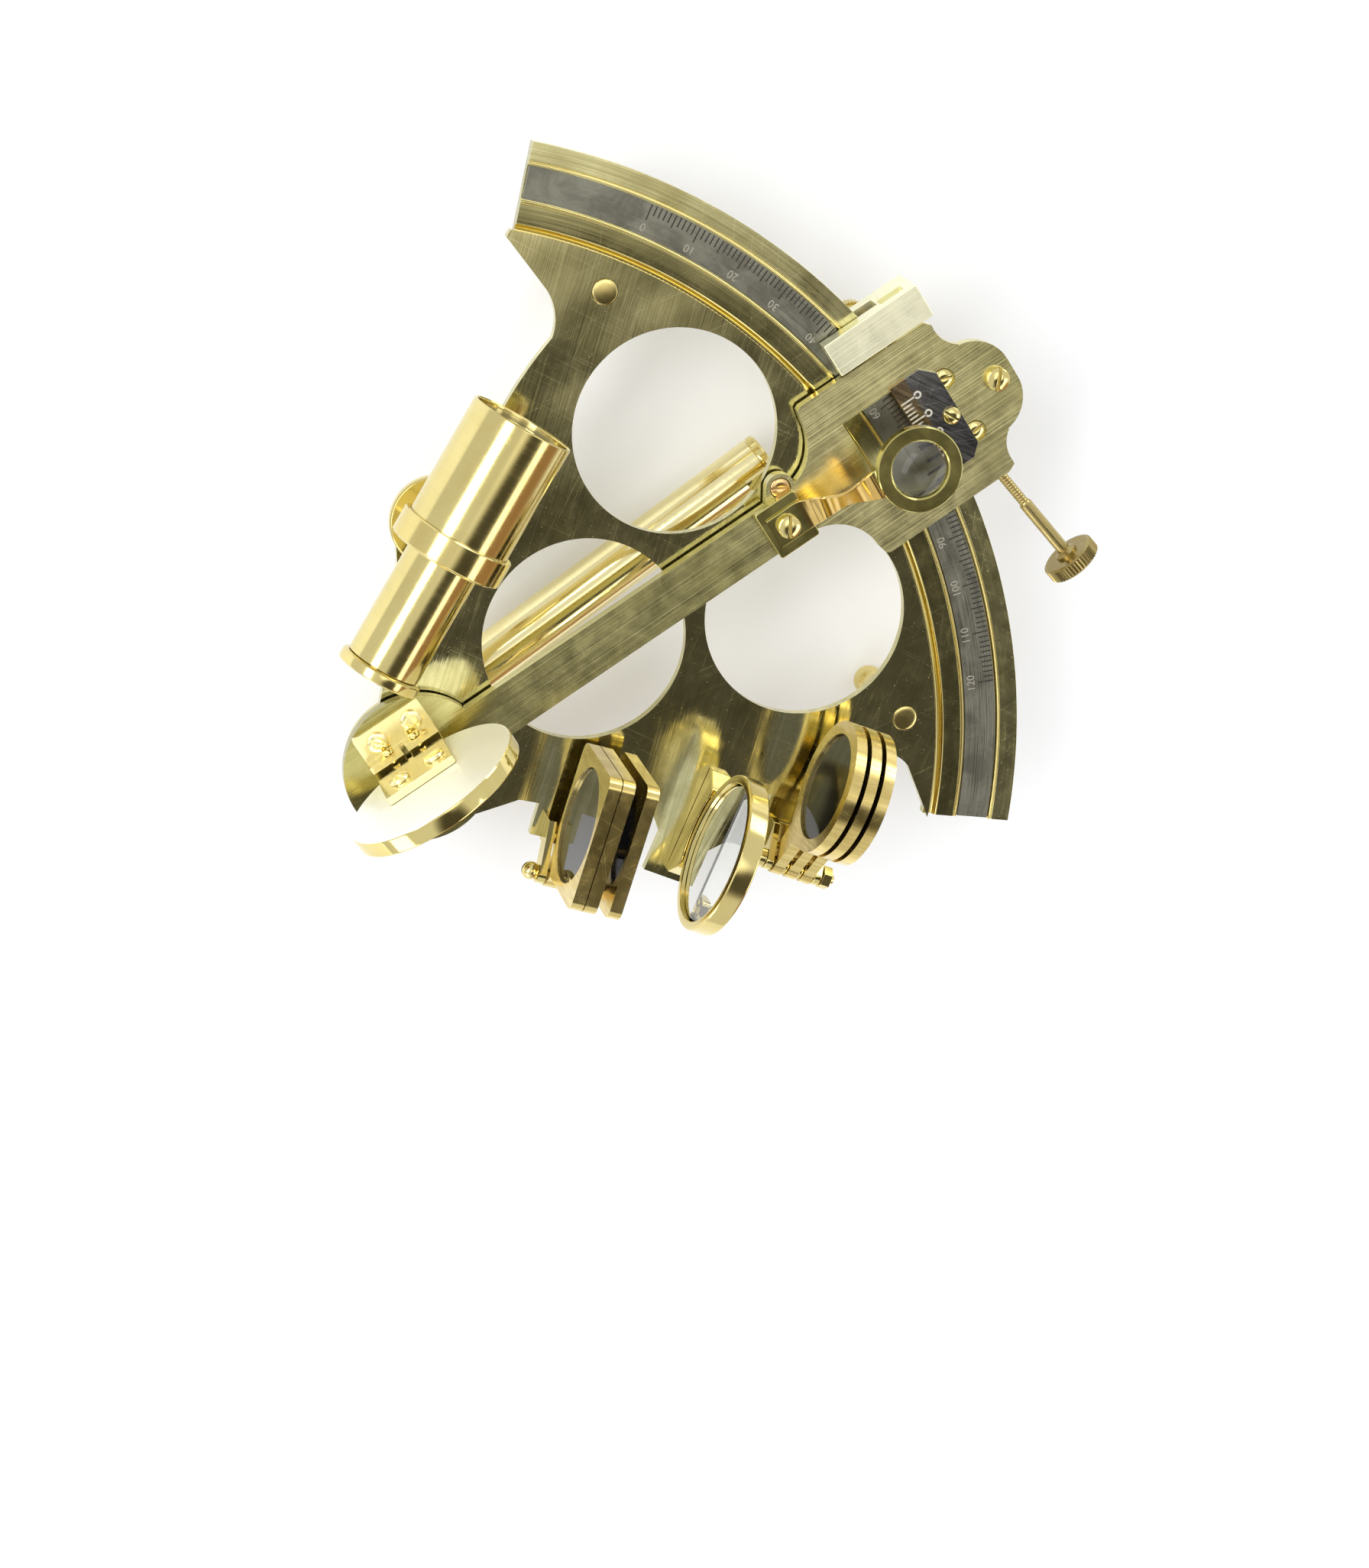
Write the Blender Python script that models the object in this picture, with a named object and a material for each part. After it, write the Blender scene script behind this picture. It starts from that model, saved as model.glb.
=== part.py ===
"""A brass nautical sextant with a vernier scale, as separate sub-parts.

The instrument lies on its three legs. The origin is on the index arm's pivot axis, on the plane of the
feet. +Y runs from the pivot to the middle of the limb, and +Z is up, out of the frame's front face.
Lengths are in millimetres and angles in degrees until MM turns them into Blender's metres.
"""

from math import asin, atan2, cos, degrees, pi, radians, sin, sqrt

import bmesh
import bpy
from mathutils import Matrix, Vector

MM = 0.001
GAP = 0.3  # between two pieces that touch on the bench
FINE, ROUND, SMALL = 32, 20, 12  # facets of a large, a middling and a small round piece

# The frame
FRONT = 44.0  # height of the limb's front face above the feet
LIMB_OUTER = 180.0
LIMB_INNER = 154.0
LIMB_HALF_ANGLE = 43.0
LIMB_THICK = 4.0
WEB_THICK = 3.0
WEB_SUNK = 0.4  # the web's face lies this much below the limb's
STRIP_INNER = 164.3
STRIP_OUTER = 173.4
CHANNEL_DEEP = 1.4
STRIP_THICK = 1.0
HOLE_RADIUS = 29.2
SIDE_HOLE_AT = 122.5
SIDE_HOLE_ANGLE = 15.8
MIDDLE_HOLE_AT = 63.2
LEG_AT = 146.3
LEG_ANGLE = 31.9
LEG_RADIUS = 4.0
STUD_RADIUS = 3.6

# The index arm
ARM_ANGLE = 2.4  # clockwise from +Y at rest
ARM_LOW = 1.0
ARM_THICK = 3.6
ARM_TOP = ARM_LOW + ARM_THICK
ARM_HALF = 7.0
HEAD_RADIUS = 21.3
HEAD_AHEAD = 4.5
TANGENT_AT = (25.4, 187.8, -2.4)  # a point on the tangent screw's axis, in the arm's frame
TANGENT_TILT = 8.0  # the axis is turned this much from square across the arm

# The two mirrors, the shades and the telescope
INDEX_MIRROR_RADIUS = 26.0
INDEX_MIRROR_AT = (6.0, 33.0)  # along the arm, and up
HORIZON_ANGLE = 31.6  # direction of the mirror's normal, from +X
HORIZON_AT = (64.9, 58.4)
HORIZON_UP = 30.5
HORIZON_RADIUS = 23.0
INDEX_SHADE_ANGLE = 37.7
INDEX_SHADE_PIN = (52.6, 19.4)
INDEX_SHADE_PIN_UP = 8.5
HORIZON_SHADE_ANGLE = 33.1
HORIZON_SHADE_PIN = (90.0, 72.5)
HORIZON_SHADE_PIN_UP = 9.0
TELESCOPE_AT = (-53.9, 49.6)
TELESCOPE_UP = 30.0
TELESCOPE_ANGLE = 24.4  # anticlockwise from +Y at rest


# ---------------------------------------------------------------- scene and materials


def clear_scene():
    for old in list(bpy.data.objects):
        bpy.data.objects.remove(old, do_unlink=True)


def material(name, colour, roughness, metallic, transmission=0.0):
    made = bpy.data.materials.new(name)
    made.use_nodes = True
    shader = made.node_tree.nodes["Principled BSDF"]
    shader.inputs["Base Color"].default_value = (*colour, 1.0)
    shader.inputs["Roughness"].default_value = roughness
    shader.inputs["Metallic"].default_value = metallic
    shader.inputs["Transmission Weight"].default_value = transmission
    return made


def make_materials():
    return {
        "brass": material("brass", (0.78, 0.64, 0.30), 0.25, 1.0),
        "brass_bright": material("brass_bright", (0.86, 0.70, 0.32), 0.12, 1.0),
        "silvered": material("silvered", (0.52, 0.53, 0.53), 0.35, 1.0),
        "copper": material("copper", (0.80, 0.48, 0.32), 0.35, 1.0),
        "mirror": material("mirror", (0.85, 0.86, 0.86), 0.03, 1.0),
        "smoked_glass": material("smoked_glass", (0.05, 0.05, 0.06), 0.05, 0.0, 0.8),
        "clear_glass": material("clear_glass", (0.95, 0.97, 0.97), 0.02, 0.0, 1.0),
    }


# ---------------------------------------------------------------- shapes


def polar(radius, angle):
    """A point at an angle clockwise from +Y."""
    return (radius * sin(radians(angle)), radius * cos(radians(angle)))


def arc(centre, radius, start, end, steps):
    """Points on a circle from one angle to another, anticlockwise from +X."""
    turn = [start + (end - start) * i / steps for i in range(steps + 1)]
    return [(centre[0] + radius * cos(radians(a)), centre[1] + radius * sin(radians(a))) for a in turn]


def blend_arc(start, end, bulge, steps=8):
    """A circular arc between two points, whose middle lies `bulge` to the left of the straight line."""
    a, b = Vector(start), Vector(end)
    chord = b - a
    left = Vector((-chord.y, chord.x)).normalized()
    radius = (chord.length_squared / 4 + bulge**2) / (2 * abs(bulge))
    side = 1 if bulge > 0 else -1
    centre = (a + b) / 2 + left * (bulge - side * radius)
    half = asin(min(1.0, chord.length / (2 * radius)))
    first = atan2(a.y - centre.y, a.x - centre.x)
    turn = -side * 2 * half
    return [
        (centre.x + radius * cos(first + turn * i / steps), centre.y + radius * sin(first + turn * i / steps))
        for i in range(1, steps)
    ]


def rounded(corners, radius, steps=4):
    """A closed outline with each corner rounded. Corners run anticlockwise."""
    points = []
    count = len(corners)
    for i, corner in enumerate(corners):
        here = Vector(corner)
        before = (Vector(corners[i - 1]) - here).normalized()
        after = (Vector(corners[(i + 1) % count]) - here).normalized()
        half = before.angle(after) / 2
        reach = radius / (sin(half) / cos(half))
        middle = here + (before + after).normalized() * radius / sin(half)
        first, last = here + before * reach, here + after * reach
        a0 = atan2(first.y - middle.y, first.x - middle.x)
        a1 = atan2(last.y - middle.y, last.x - middle.x)
        turn = (a1 - a0 + pi) % (2 * pi) - pi
        for step in range(steps + 1):
            a = a0 + turn * step / steps
            points.append((middle.x + radius * cos(a), middle.y + radius * sin(a)))
    return points


def prism(outline, low, high):
    """A closed outline, extruded upwards."""
    bm = bmesh.new()
    face = bm.faces.new([bm.verts.new((x, y, low)) for x, y in outline])
    swept = bmesh.ops.extrude_face_region(bm, geom=[face])
    tops = [v for v in swept["geom"] if isinstance(v, bmesh.types.BMVert)]
    bmesh.ops.translate(bm, verts=tops, vec=(0, 0, high - low))
    bmesh.ops.recalc_face_normals(bm, faces=bm.faces)
    return bm


def block(x0, x1, y0, y1, z0, z1):
    return prism([(x0, y0), (x1, y0), (x1, y1), (x0, y1)], z0, z1)


def turned(profile, steps=ROUND):
    """A closed profile of (radius, height) points, turned about Z. A point at radius 0 is a pole."""
    bm = bmesh.new()
    rings = []
    for radius, height in profile:
        if radius < 1e-6:
            rings.append([bm.verts.new((0, 0, height))])
            continue
        turns = [2 * pi * i / steps for i in range(steps)]
        rings.append([bm.verts.new((radius * cos(a), radius * sin(a), height)) for a in turns])
    for i, ring in enumerate(rings):
        following = rings[(i + 1) % len(rings)]
        if len(ring) == 1 and len(following) == 1:
            continue
        for k in range(steps):
            n = (k + 1) % steps
            corners = [ring[k % len(ring)], ring[n % len(ring)], following[n % len(following)]]
            corners.append(following[k % len(following)])
            bm.faces.new(list(dict.fromkeys(corners)))
    bmesh.ops.recalc_face_normals(bm, faces=bm.faces)
    return bm


def rod(radius, low, high, steps=SMALL):
    """A plain cylinder about Z, for a pin or for the bore it goes through."""
    return turned([(0, low), (radius, low), (radius, high), (0, high)], steps)


def swept_sector(profile, half_angle, steps):
    """A closed profile of (radius, height) points, swept about Z on either side of +Y."""
    bm = bmesh.new()
    sections = []
    for i in range(steps + 1):
        angle = -half_angle + 2 * half_angle * i / steps
        sections.append([bm.verts.new((*polar(radius, angle), height)) for radius, height in profile])
    for one, two in zip(sections, sections[1:]):
        for k in range(len(profile)):
            n = (k + 1) % len(profile)
            bm.faces.new([one[k], one[n], two[n], two[k]])
    bm.faces.new(sections[0])
    bm.faces.new(sections[-1])
    bmesh.ops.recalc_face_normals(bm, faces=bm.faces)
    return bm


def moved(bm, x=0.0, y=0.0, z=0.0):
    bmesh.ops.translate(bm, verts=bm.verts, vec=(x, y, z))
    return bm


def turned_to(bm, axis, angle):
    bmesh.ops.rotate(bm, verts=bm.verts, matrix=Matrix.Rotation(radians(angle), 3, axis))
    return bm


def along_y(bm):
    """Lays a shape turned about Z along +Y."""
    return turned_to(bm, "X", -90)


def along_x(bm):
    """Lays a shape turned about Z along +X."""
    return turned_to(bm, "Y", 90)


def standing(outline, low, high):
    """A plate in the XZ plane: the outline's second number is height, and it is low to high along Y."""
    return turned_to(prism(outline, -high, -low), "X", 90)


def slotted_head(radius, height, shank, depth, steps=SMALL):
    """A cheese-head screw about Z with its seat at height 0 and its shank below."""
    rim = 0.18 * radius
    profile = [
        (0, -depth), (shank, -depth), (shank, 0), (radius, 0), (radius, height - rim),
        (radius - rim, height), (0, height),
    ]
    return turned(profile, steps)


# ---------------------------------------------------------------- objects


class Workshop:
    """Makes the named objects. Each assembly is an empty that its pieces are modelled around."""

    def __init__(self, looks):
        self.looks = looks
        self.scene = bpy.context.scene.collection

    def assembly(self, name, at, turn=0.0):
        empty = bpy.data.objects.new(name, None)
        empty.location = Vector(at) * MM
        empty.rotation_euler = (0, 0, radians(turn))
        self.scene.objects.link(empty)
        return empty

    def _object(self, name, bm, parent):
        bmesh.ops.scale(bm, verts=bm.verts, vec=(MM, MM, MM))
        mesh = bpy.data.meshes.new(name)
        bm.to_mesh(mesh)
        bm.free()
        made = bpy.data.objects.new(name, mesh)
        made.parent = parent
        self.scene.objects.link(made)
        return made

    def piece(self, name, bm, look, parent, join=(), cut=()):
        made = self._object(name, bm, parent)
        made.data.materials.append(self.looks[look])
        for operation, shapes in (("UNION", join), ("DIFFERENCE", cut)):
            for i, shape in enumerate(shapes):
                tool = self._object(f"{name}_{operation.lower()}_{i}", shape, parent)
                tool.hide_render = True
                tool.display_type = "WIRE"
                boolean = made.modifiers.new(f"{operation.lower()}_{i}", "BOOLEAN")
                boolean.operation = operation
                boolean.solver = "EXACT"
                boolean.object = tool
        made.data.shade_smooth()
        made.data.set_sharp_from_angle(angle=radians(35))
        return made


def screw(
    shop, name, at, parent, radius, height, shank, depth, axis=(0, 0, 1), look="brass_bright", slot=20.0
):
    """A slotted screw whose seat is at `at`, with its head towards axis."""
    bm = slotted_head(radius, height, shank, depth)
    long, half_slot = 2 * radius, 0.14 * radius
    cutter = turned_to(block(-long, long, -half_slot, half_slot, 0.62 * height, 2 * height + 1), "Z", slot)
    aim = Vector((0, 0, 1)).rotation_difference(Vector(axis)).to_matrix()
    for shape in (bm, cutter):
        bmesh.ops.rotate(shape, verts=shape.verts, matrix=aim)
        moved(shape, *at)
    return shop.piece(name, bm, look, parent, cut=[cutter])


# ---------------------------------------------------------------- the frame


def in_plane(angle, along, across):
    """A point `along` a direction from the pivot, and `across` it towards the frame's outside."""
    a = radians(angle)
    return (along * cos(a) + across * sin(a), along * sin(a) - across * cos(a))


def web_outline():
    """The web: a fan under the limb, narrowing to the pivot, with a tab for each fitting."""
    shade_corners = ((40.4, -0.6), (40.4, 8.8), (64.6, 8.8), (64.6, -3.0))
    mirror_corners = ((76.9, -8.5), (76.9, 3.0), (92.0, 3.0), (92.0, -14.0))
    far_corners = ((104.0, -28.0), (104.0, -13.0), (123.0, -13.0), (123.0, -34.0))
    shade_tab = [in_plane(INDEX_SHADE_ANGLE, a, b) for a, b in shade_corners]
    mirror_tab = [in_plane(HORIZON_ANGLE, a, b) for a, b in mirror_corners]
    far_tab = [in_plane(HORIZON_SHADE_ANGLE, a, b) for a, b in far_corners]
    outer = LIMB_INNER + 1.5
    points = [polar(outer, 43.4 - 86.8 * i / 28) for i in range(29)]
    points += [(-106.0, 110.9)] + arc((-88.0, 96.5), 15.0, 90.0, 35.0, 6)
    points += blend_arc((-75.7, 105.1), (-58.0, 66.0), -2.0) + [(-58.0, 66.0)]
    points += arc(TELESCOPE_AT, 11.6, 140.0, 250.0, 10)
    points += blend_arc((-57.9, 38.7), (-29.5, 16.0), 1.5, 5) + [(-29.5, 16.0)]
    points += arc((0, HEAD_AHEAD), 20.3, 175.0, 350.0, 18)
    points += [(27.2, 21.3)] + shade_tab
    points += blend_arc(shade_tab[-1], (56.0, 49.0), 2.0, 5) + [(56.0, 49.0)] + mirror_tab
    points += blend_arc(mirror_tab[-1], far_tab[0], 2.0, 5) + far_tab
    points += blend_arc(far_tab[-1], (80.0, 110.0), 3.0, 5)
    points += arc((90.0, 106.5), 10.5, 160.0, 90.0, 6) + [(102.0, 114.2)]
    return points


def limb_profile():
    top, deep = FRONT, FRONT - CHANNEL_DEEP
    return [
        (LIMB_INNER, FRONT - LIMB_THICK), (LIMB_OUTER, FRONT - LIMB_THICK), (LIMB_OUTER, top - 0.4),
        (LIMB_OUTER - 0.4, top), (STRIP_OUTER + 0.4, top), (STRIP_OUTER + 0.4, deep),
        (STRIP_INNER - 0.4, deep), (STRIP_INNER - 0.4, top), (157.6, top), (156.9, top - 1.2),
        (155.6, top - 1.5), (LIMB_INNER, top - 0.9),
    ]


def leg_profile(top):
    """A turned leg: a ball foot with a flat under it, a waist, a collar under the web and a flush stud."""
    under = FRONT - WEB_SUNK - WEB_THICK - GAP
    return [
        (0, 0), (2.2, 0), (3.9, 1.4), (4.6, 3.6), (3.9, 5.8), (2.7, 7.2), (2.9, 8.4), (LEG_RADIUS - 0.4, 9.6),
        (LEG_RADIUS - 0.4, under - 4), (LEG_RADIUS + 1.2, under - 2.6), (LEG_RADIUS + 1.2, under),
        (STUD_RADIUS - GAP, under), (STUD_RADIUS - GAP, top - 0.5), (STUD_RADIUS - GAP - 0.6, top), (0, top),
    ]


def make_frame(shop):
    root = shop.assembly("frame_body", (0, 0, 0))
    web_top = FRONT - WEB_SUNK
    holes = [polar(MIDDLE_HOLE_AT, 0.0)]
    holes += [polar(SIDE_HOLE_AT, side * SIDE_HOLE_ANGLE) for side in (1, -1)]
    legs = {"left_leg": polar(LEG_AT, -LEG_ANGLE), "right_leg": polar(LEG_AT, LEG_ANGLE)}
    cuts = []
    for x, y in holes:
        cuts.append(moved(rod(HOLE_RADIUS, 30, 60, FINE), x, y))
    bores = [(*at, STUD_RADIUS) for at in legs.values()]
    bores += [(0, 0, 6.0), (*TELESCOPE_AT, 3.6)]
    for x, y, radius in bores:
        cuts.append(moved(rod(radius, 30, 60), x, y))
    limb = swept_sector(limb_profile(), LIMB_HALF_ANGLE, 36)
    web = prism(web_outline(), web_top - WEB_THICK, web_top)
    shop.piece("frame_casting", web, "brass", root, join=[limb], cut=cuts)
    low, high = FRONT - CHANNEL_DEEP + GAP, FRONT - CHANNEL_DEEP + GAP + STRIP_THICK
    strip = [(STRIP_INNER, low), (STRIP_OUTER, low), (STRIP_OUTER, high), (STRIP_INNER, high)]
    shop.piece("scale_strip", swept_sector(strip, LIMB_HALF_ANGLE - 0.1, 36), "silvered", root)
    for name, (x, y) in legs.items():
        shop.piece(name, moved(turned(leg_profile(web_top), ROUND), x, y), "brass_bright", root)
    return root


def make_pivot(shop, root):
    """A bearing cup under the web with a foot below it, and the arm's shaft turning in it."""
    under = FRONT - WEB_SUNK - WEB_THICK - GAP
    cup = [
        (0, 0), (2.2, 0), (4.2, 1.4), (5.0, 3.6), (4.2, 5.8), (3.2, 7.4), (3.2, 18.0), (5.0, 20.5),
        (9.0, 22.0),
        (9.0, under - 3), (13.0, under - 2), (13.0, under), (5.2, under), (5.2, 26.0), (0, 26.0),
    ]
    shop.piece("pivot_leg", turned(cup, ROUND), "brass_bright", root)
    shaft = [(0, 27.0), (5.0, 27.0), (5.0, FRONT + ARM_LOW - GAP), (0, FRONT + ARM_LOW - GAP)]
    return turned(shaft, ROUND)


def make_handle(shop, root):
    """A plain tube under the frame, plugged at both ends by the brackets that hold it off the web."""
    x, z, radius, wall = -2.0, FRONT - 30.0, 7.6, 0.8
    y0, y1 = 20.0, 134.0
    bore = radius - wall
    tube = [(bore, y0), (radius, y0), (radius, y1), (bore, y1)]
    shop.piece("handle_tube", moved(along_y(turned(tube, ROUND)), x, 0, z), "brass_bright", root)
    under = FRONT - WEB_SUNK - WEB_THICK - GAP
    for name, end, out in (("handle_upper_bracket", y1, 1), ("handle_lower_bracket", y0, -1)):
        plug = [
            (0, end - out * 8), (bore - GAP, end - out * 8), (bore - GAP, end + out * GAP),
            (radius, end + out * GAP), (radius, end + out * 2.2), (radius - 0.6, end + out * 2.8),
            (0, end + out * 2.8),
        ]
        cap = moved(along_y(turned(plug, ROUND)), x, 0, z)
        near, far = sorted((end + out * 0.6, end + out * 2.6))
        stem = [(x - 3.4, z - 2), (x + 3.4, z - 2), (x + 3.4, under - 2.2), (x - 3.4, under - 2.2)]
        inner, outer = sorted((end + out * 2.6, end - out * 8.0))
        foot = block(x - 5.5, x + 5.5, inner, outer, under - 2.4, under)
        shop.piece(name, cap, "brass_bright", root, join=[standing(stem, near, far), foot])


# ---------------------------------------------------------------- the index arm


def arm_outline():
    """The arm's bar, its round head, and the reading frame with its shoulders and lobed tip."""
    half, wide, shoulder = ARM_HALF, 25.4, 15.0
    head_meets = degrees(asin(half / HEAD_RADIUS))
    right = [(half, 132.0)] + arc((half + shoulder, 132.0), shoulder, 180.0, 92.0, 8) + [(wide - 0.6, 147.8)]
    right += [(wide, 149.0), (wide, 189.5), (wide - 1.2, 192.0)]
    right += arc((22.0, 201.0), 9.0, 280.0, 215.0, 6)[1:] + arc((3.0, 194.0), 11.5, 8.0, 90.0, 7)
    left = [(-3.0, 205.5)] + arc((-3.0, 194.0), 11.5, 98.0, 172.0, 6)
    left += arc((-22.0, 201.0), 9.0, 325.0, 260.0, 6)
    left += [(-wide, 190.5), (-wide, 149.0), (-wide + 0.6, 147.8)]
    left += arc((-half - shoulder, 132.0), shoulder, 88.0, 30.0, 6)
    left += arc((-8.8, 132.2), 4.2, 75.0, 240.0, 8) + [(-half, 126.0)]
    head = arc((0, HEAD_AHEAD), HEAD_RADIUS, 90.0 + head_meets, 450.0 - head_meets, 28)
    return head + right + left


def make_arm(shop, arm, shaft):
    window = [(-14.2, 156.5), (14.2, 156.5), (14.2, 182.5), (-14.2, 182.5)]
    cuts = [prism(window, 0, 10)]
    for x, y, radius in ((0, 200.0, 1.6), (-8.8, 132.2, 3.1), (1.2, 183.6, 1.4)):
        cuts.append(moved(rod(radius, -9, 20), x, y))
    for x in (-8.5, 9.5):
        cuts.append(moved(rod(3.1, ARM_TOP - 1.6, 20), x, 187.4))
    bar = prism(arm_outline(), ARM_LOW, ARM_TOP)
    lug = rounded([(14.0, 182.6), (23.6, 182.6), (23.6, 192.4), (14.0, 192.4)], 1.0, 2)
    lug = prism(lug, -6.4, ARM_LOW + 1.0)
    shop.piece("index_arm", bar, "brass", arm, join=[lug], cut=[*cuts, tangent_bore()])
    bmesh.ops.translate(shaft, verts=shaft.verts, vec=(0, 0, -FRONT))
    shop.piece("pivot_shaft", shaft, "brass_bright", arm)
    screw(shop, "arm_tip_screw", (0, 200.0, ARM_TOP + GAP), arm, 3.4, 2.4, 1.3, 3.4, slot=-40)
    lug_seat = (-8.8, 132.2, ARM_TOP - 0.9)
    screw(shop, "arm_lug_screw", lug_seat, arm, 2.8, 0.9, 1.4, 2.6, look="copper", slot=60)
    for name, x in (("vernier_adjuster_left", -8.5), ("vernier_adjuster_right", 9.5)):
        screw(shop, name, (x, 187.4, ARM_TOP - 1.6 + GAP), arm, 2.75, 1.3, 1.2, 0.2, slot=70)


def tangent_bore():
    """The bore the tangent screw runs in, wide enough for its thread to pass."""
    bore = along_x(rod(1.9, -66, 20))
    return moved(turned_to(bore, "Z", TANGENT_TILT), *TANGENT_AT)


def make_vernier(shop, arm):
    outline = [(-15.4, 171.2), (15.4, 171.2), (15.4, 183.0), (12.4, 186.2), (-11.6, 186.2), (-15.4, 182.4)]
    high = ARM_TOP + GAP
    plate = prism(outline, high, high + 0.9)
    hole = moved(rod(1.4, 0, 9), 1.2, 183.6)
    clear = [moved(rod(3.2, 0, 9), x, 187.4) for x in (-8.5, 9.5)]
    bevel = moved(turned_to(block(-30, 30, -4, 0, -1.2, 3), "X", 24), 0, 172.6, high + 0.35)
    shop.piece("vernier_plate", plate, "silvered", arm, cut=[hole, *clear, bevel])
    screw(shop, "vernier_screw", (1.2, 183.6, high + 0.9 + GAP), arm, 2.5, 1.3, 1.1, 3.6, slot=25)


def make_magnifier(shop, arm):
    """A block clamped to the arm, and a twisted strip that swings on its screw and carries the lens ring."""
    base_low = ARM_TOP + GAP
    base_high = base_low + 3.4
    hole = moved(rod(1.6, 0, 20), 0, 128.0)
    base = rounded([(-7.6, 121.6), (7.6, 121.6), (7.6, 134.6), (-7.6, 134.6)], 1.2, 3)
    base = prism(base, base_low, base_high)
    shop.piece("magnifier_base", base, "brass", arm, cut=[hole])
    screw(shop, "magnifier_screw", (0, 128.0, base_high + 1.6), arm, 3.3, 2.2, 1.3, 5.2, slot=-35)
    swing = shop.assembly("magnifier_body", (0, 0, 0))
    swing.parent = arm
    swing.location = Vector((0, 128.0, 0)) * MM
    ring_x, ring_y, ring_up = 4.4, 38.5, 17.0
    low = base_high + GAP
    ring = [(8.2, ring_up), (12.0, ring_up), (12.2, ring_up + 0.5), (12.2, ring_up + 2.7),
            (11.8, ring_up + 3.2), (8.6, ring_up + 3.2), (8.2, ring_up + 2.7)]
    strip = twisted_strip([(0, -4.6, low), (0, 4.8, low), (0.2, 8.0, low + 1.0), (0.9, 17.0, low + 5.5),
                           (1.4, 24.5, ring_up + 0.6), (2.0, 28.8, ring_up + 1.4)],
                          [9.0, 9.0, 8.6, 8.4, 9.0, 9.6], [0, 0, -10, -50, -20, 0], 1.0)
    hole = rod(1.6, 0, 30)
    bore = moved(rod(8.2, 10, 30, FINE), ring_x, ring_y)
    ring = moved(turned(ring, FINE), ring_x, ring_y)
    shop.piece("magnifier_arm", ring, "brass_bright", swing, join=[strip], cut=[hole, bore])
    half = 8.2 - GAP
    lens = [(0, ring_up + 0.2), (half * 0.6, ring_up + 0.5), (half, ring_up + 1.0), (half, ring_up + 2.0),
            (half * 0.6, ring_up + 2.6), (0, ring_up + 2.9)]
    shop.piece("magnifier_lens", moved(turned(lens, ROUND), ring_x, ring_y), "clear_glass", swing)


def twisted_strip(route, widths, twists, thick):
    """A flat strip along a route in the YZ plane, with its width and its twist about Y at each point."""
    bm = bmesh.new()
    sections = []
    for (x, y, z), width, twist in zip(route, widths, twists):
        across = Vector((cos(radians(twist)), 0, sin(radians(twist)))) * width / 2
        up = Vector((-sin(radians(twist)), 0, cos(radians(twist)))) * thick
        at = Vector((x, y, z))
        sections.append([bm.verts.new(at + p) for p in (-across, across, across + up, -across + up)])
    for one, two in zip(sections, sections[1:]):
        for k in range(4):
            n = (k + 1) % 4
            bm.faces.new([one[k], one[n], two[n], two[k]])
    bm.faces.new(sections[0])
    bm.faces.new(sections[-1])
    # a twisted strip's four-cornered faces aren't flat, so they are split before it joins the ring
    bmesh.ops.triangulate(bm, faces=bm.faces)
    bmesh.ops.recalc_face_normals(bm, faces=bm.faces)
    return bm


def make_carriage(shop, arm):
    """The clamp that rides on the limb beside the reading frame, its thumb screw and the tangent screw."""
    slide = shop.assembly("carriage_body", (0, 0, 0))
    slide.parent = arm
    x0, x1, y0, y1 = -36.4, -26.2, 163.2, 194.0
    low, high = 0.6, ARM_TOP + 1.4
    reach = 182.5
    top = block(x0, x1, y0, y1, low, high)
    outer = block(x0, x1, reach, y1, -11.0, low + 1)
    jaw = block(x0, x1, y0 + 4, reach + 1, -11.0, -6.6)
    slot = block(x0 - 1, x0 + 2.4, reach + 0.8, reach + 8.4, -2.6, 2.6)
    hole = rod(2.4, -20, -1)
    clamp_y = 176.0
    shop.piece("clamp_carriage", top, "brass", slide, join=[outer, jaw],
               cut=[slot, moved(hole, (x0 + x1) / 2, clamp_y), tangent_bore()])
    clamp = shop.assembly("clamp_screw_body", (0, 0, 0))
    clamp.parent = slide
    clamp.location = Vector(((x0 + x1) / 2, clamp_y, 0)) * MM
    thumb = [(0, -19.0), (5.4, -19.0), (6.0, -18.4), (6.0, -14.6), (5.4, -14.0), (2.1, -13.4),
             (2.1, -4.4), (0, -4.4)]
    shop.piece("clamp_thumb_screw", turned(thumb, ROUND), "brass_bright", clamp)
    spin = shop.assembly("tangent_screw_body", (0, 0, 0))
    spin.parent = arm
    spin.location = Vector(TANGENT_AT) * MM
    spin.rotation_euler = (0, 0, radians(TANGENT_TILT))
    shaft = [(0, -61.0), (1.5, -61.0), (1.5, 13.0), (1.9, 13.6), (1.9, 32.0), (3.2, 32.4), (3.2, 33.6)]
    knob = [(7.8, 33.6), (8.2, 34.0), (8.2, 37.4), (7.8, 37.8), (3.4, 37.8), (3.0, 37.2), (0, 37.2)]
    shop.piece("tangent_screw", along_x(turned(shaft + knob, ROUND)), "brass_bright", spin)
    return slide


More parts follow.
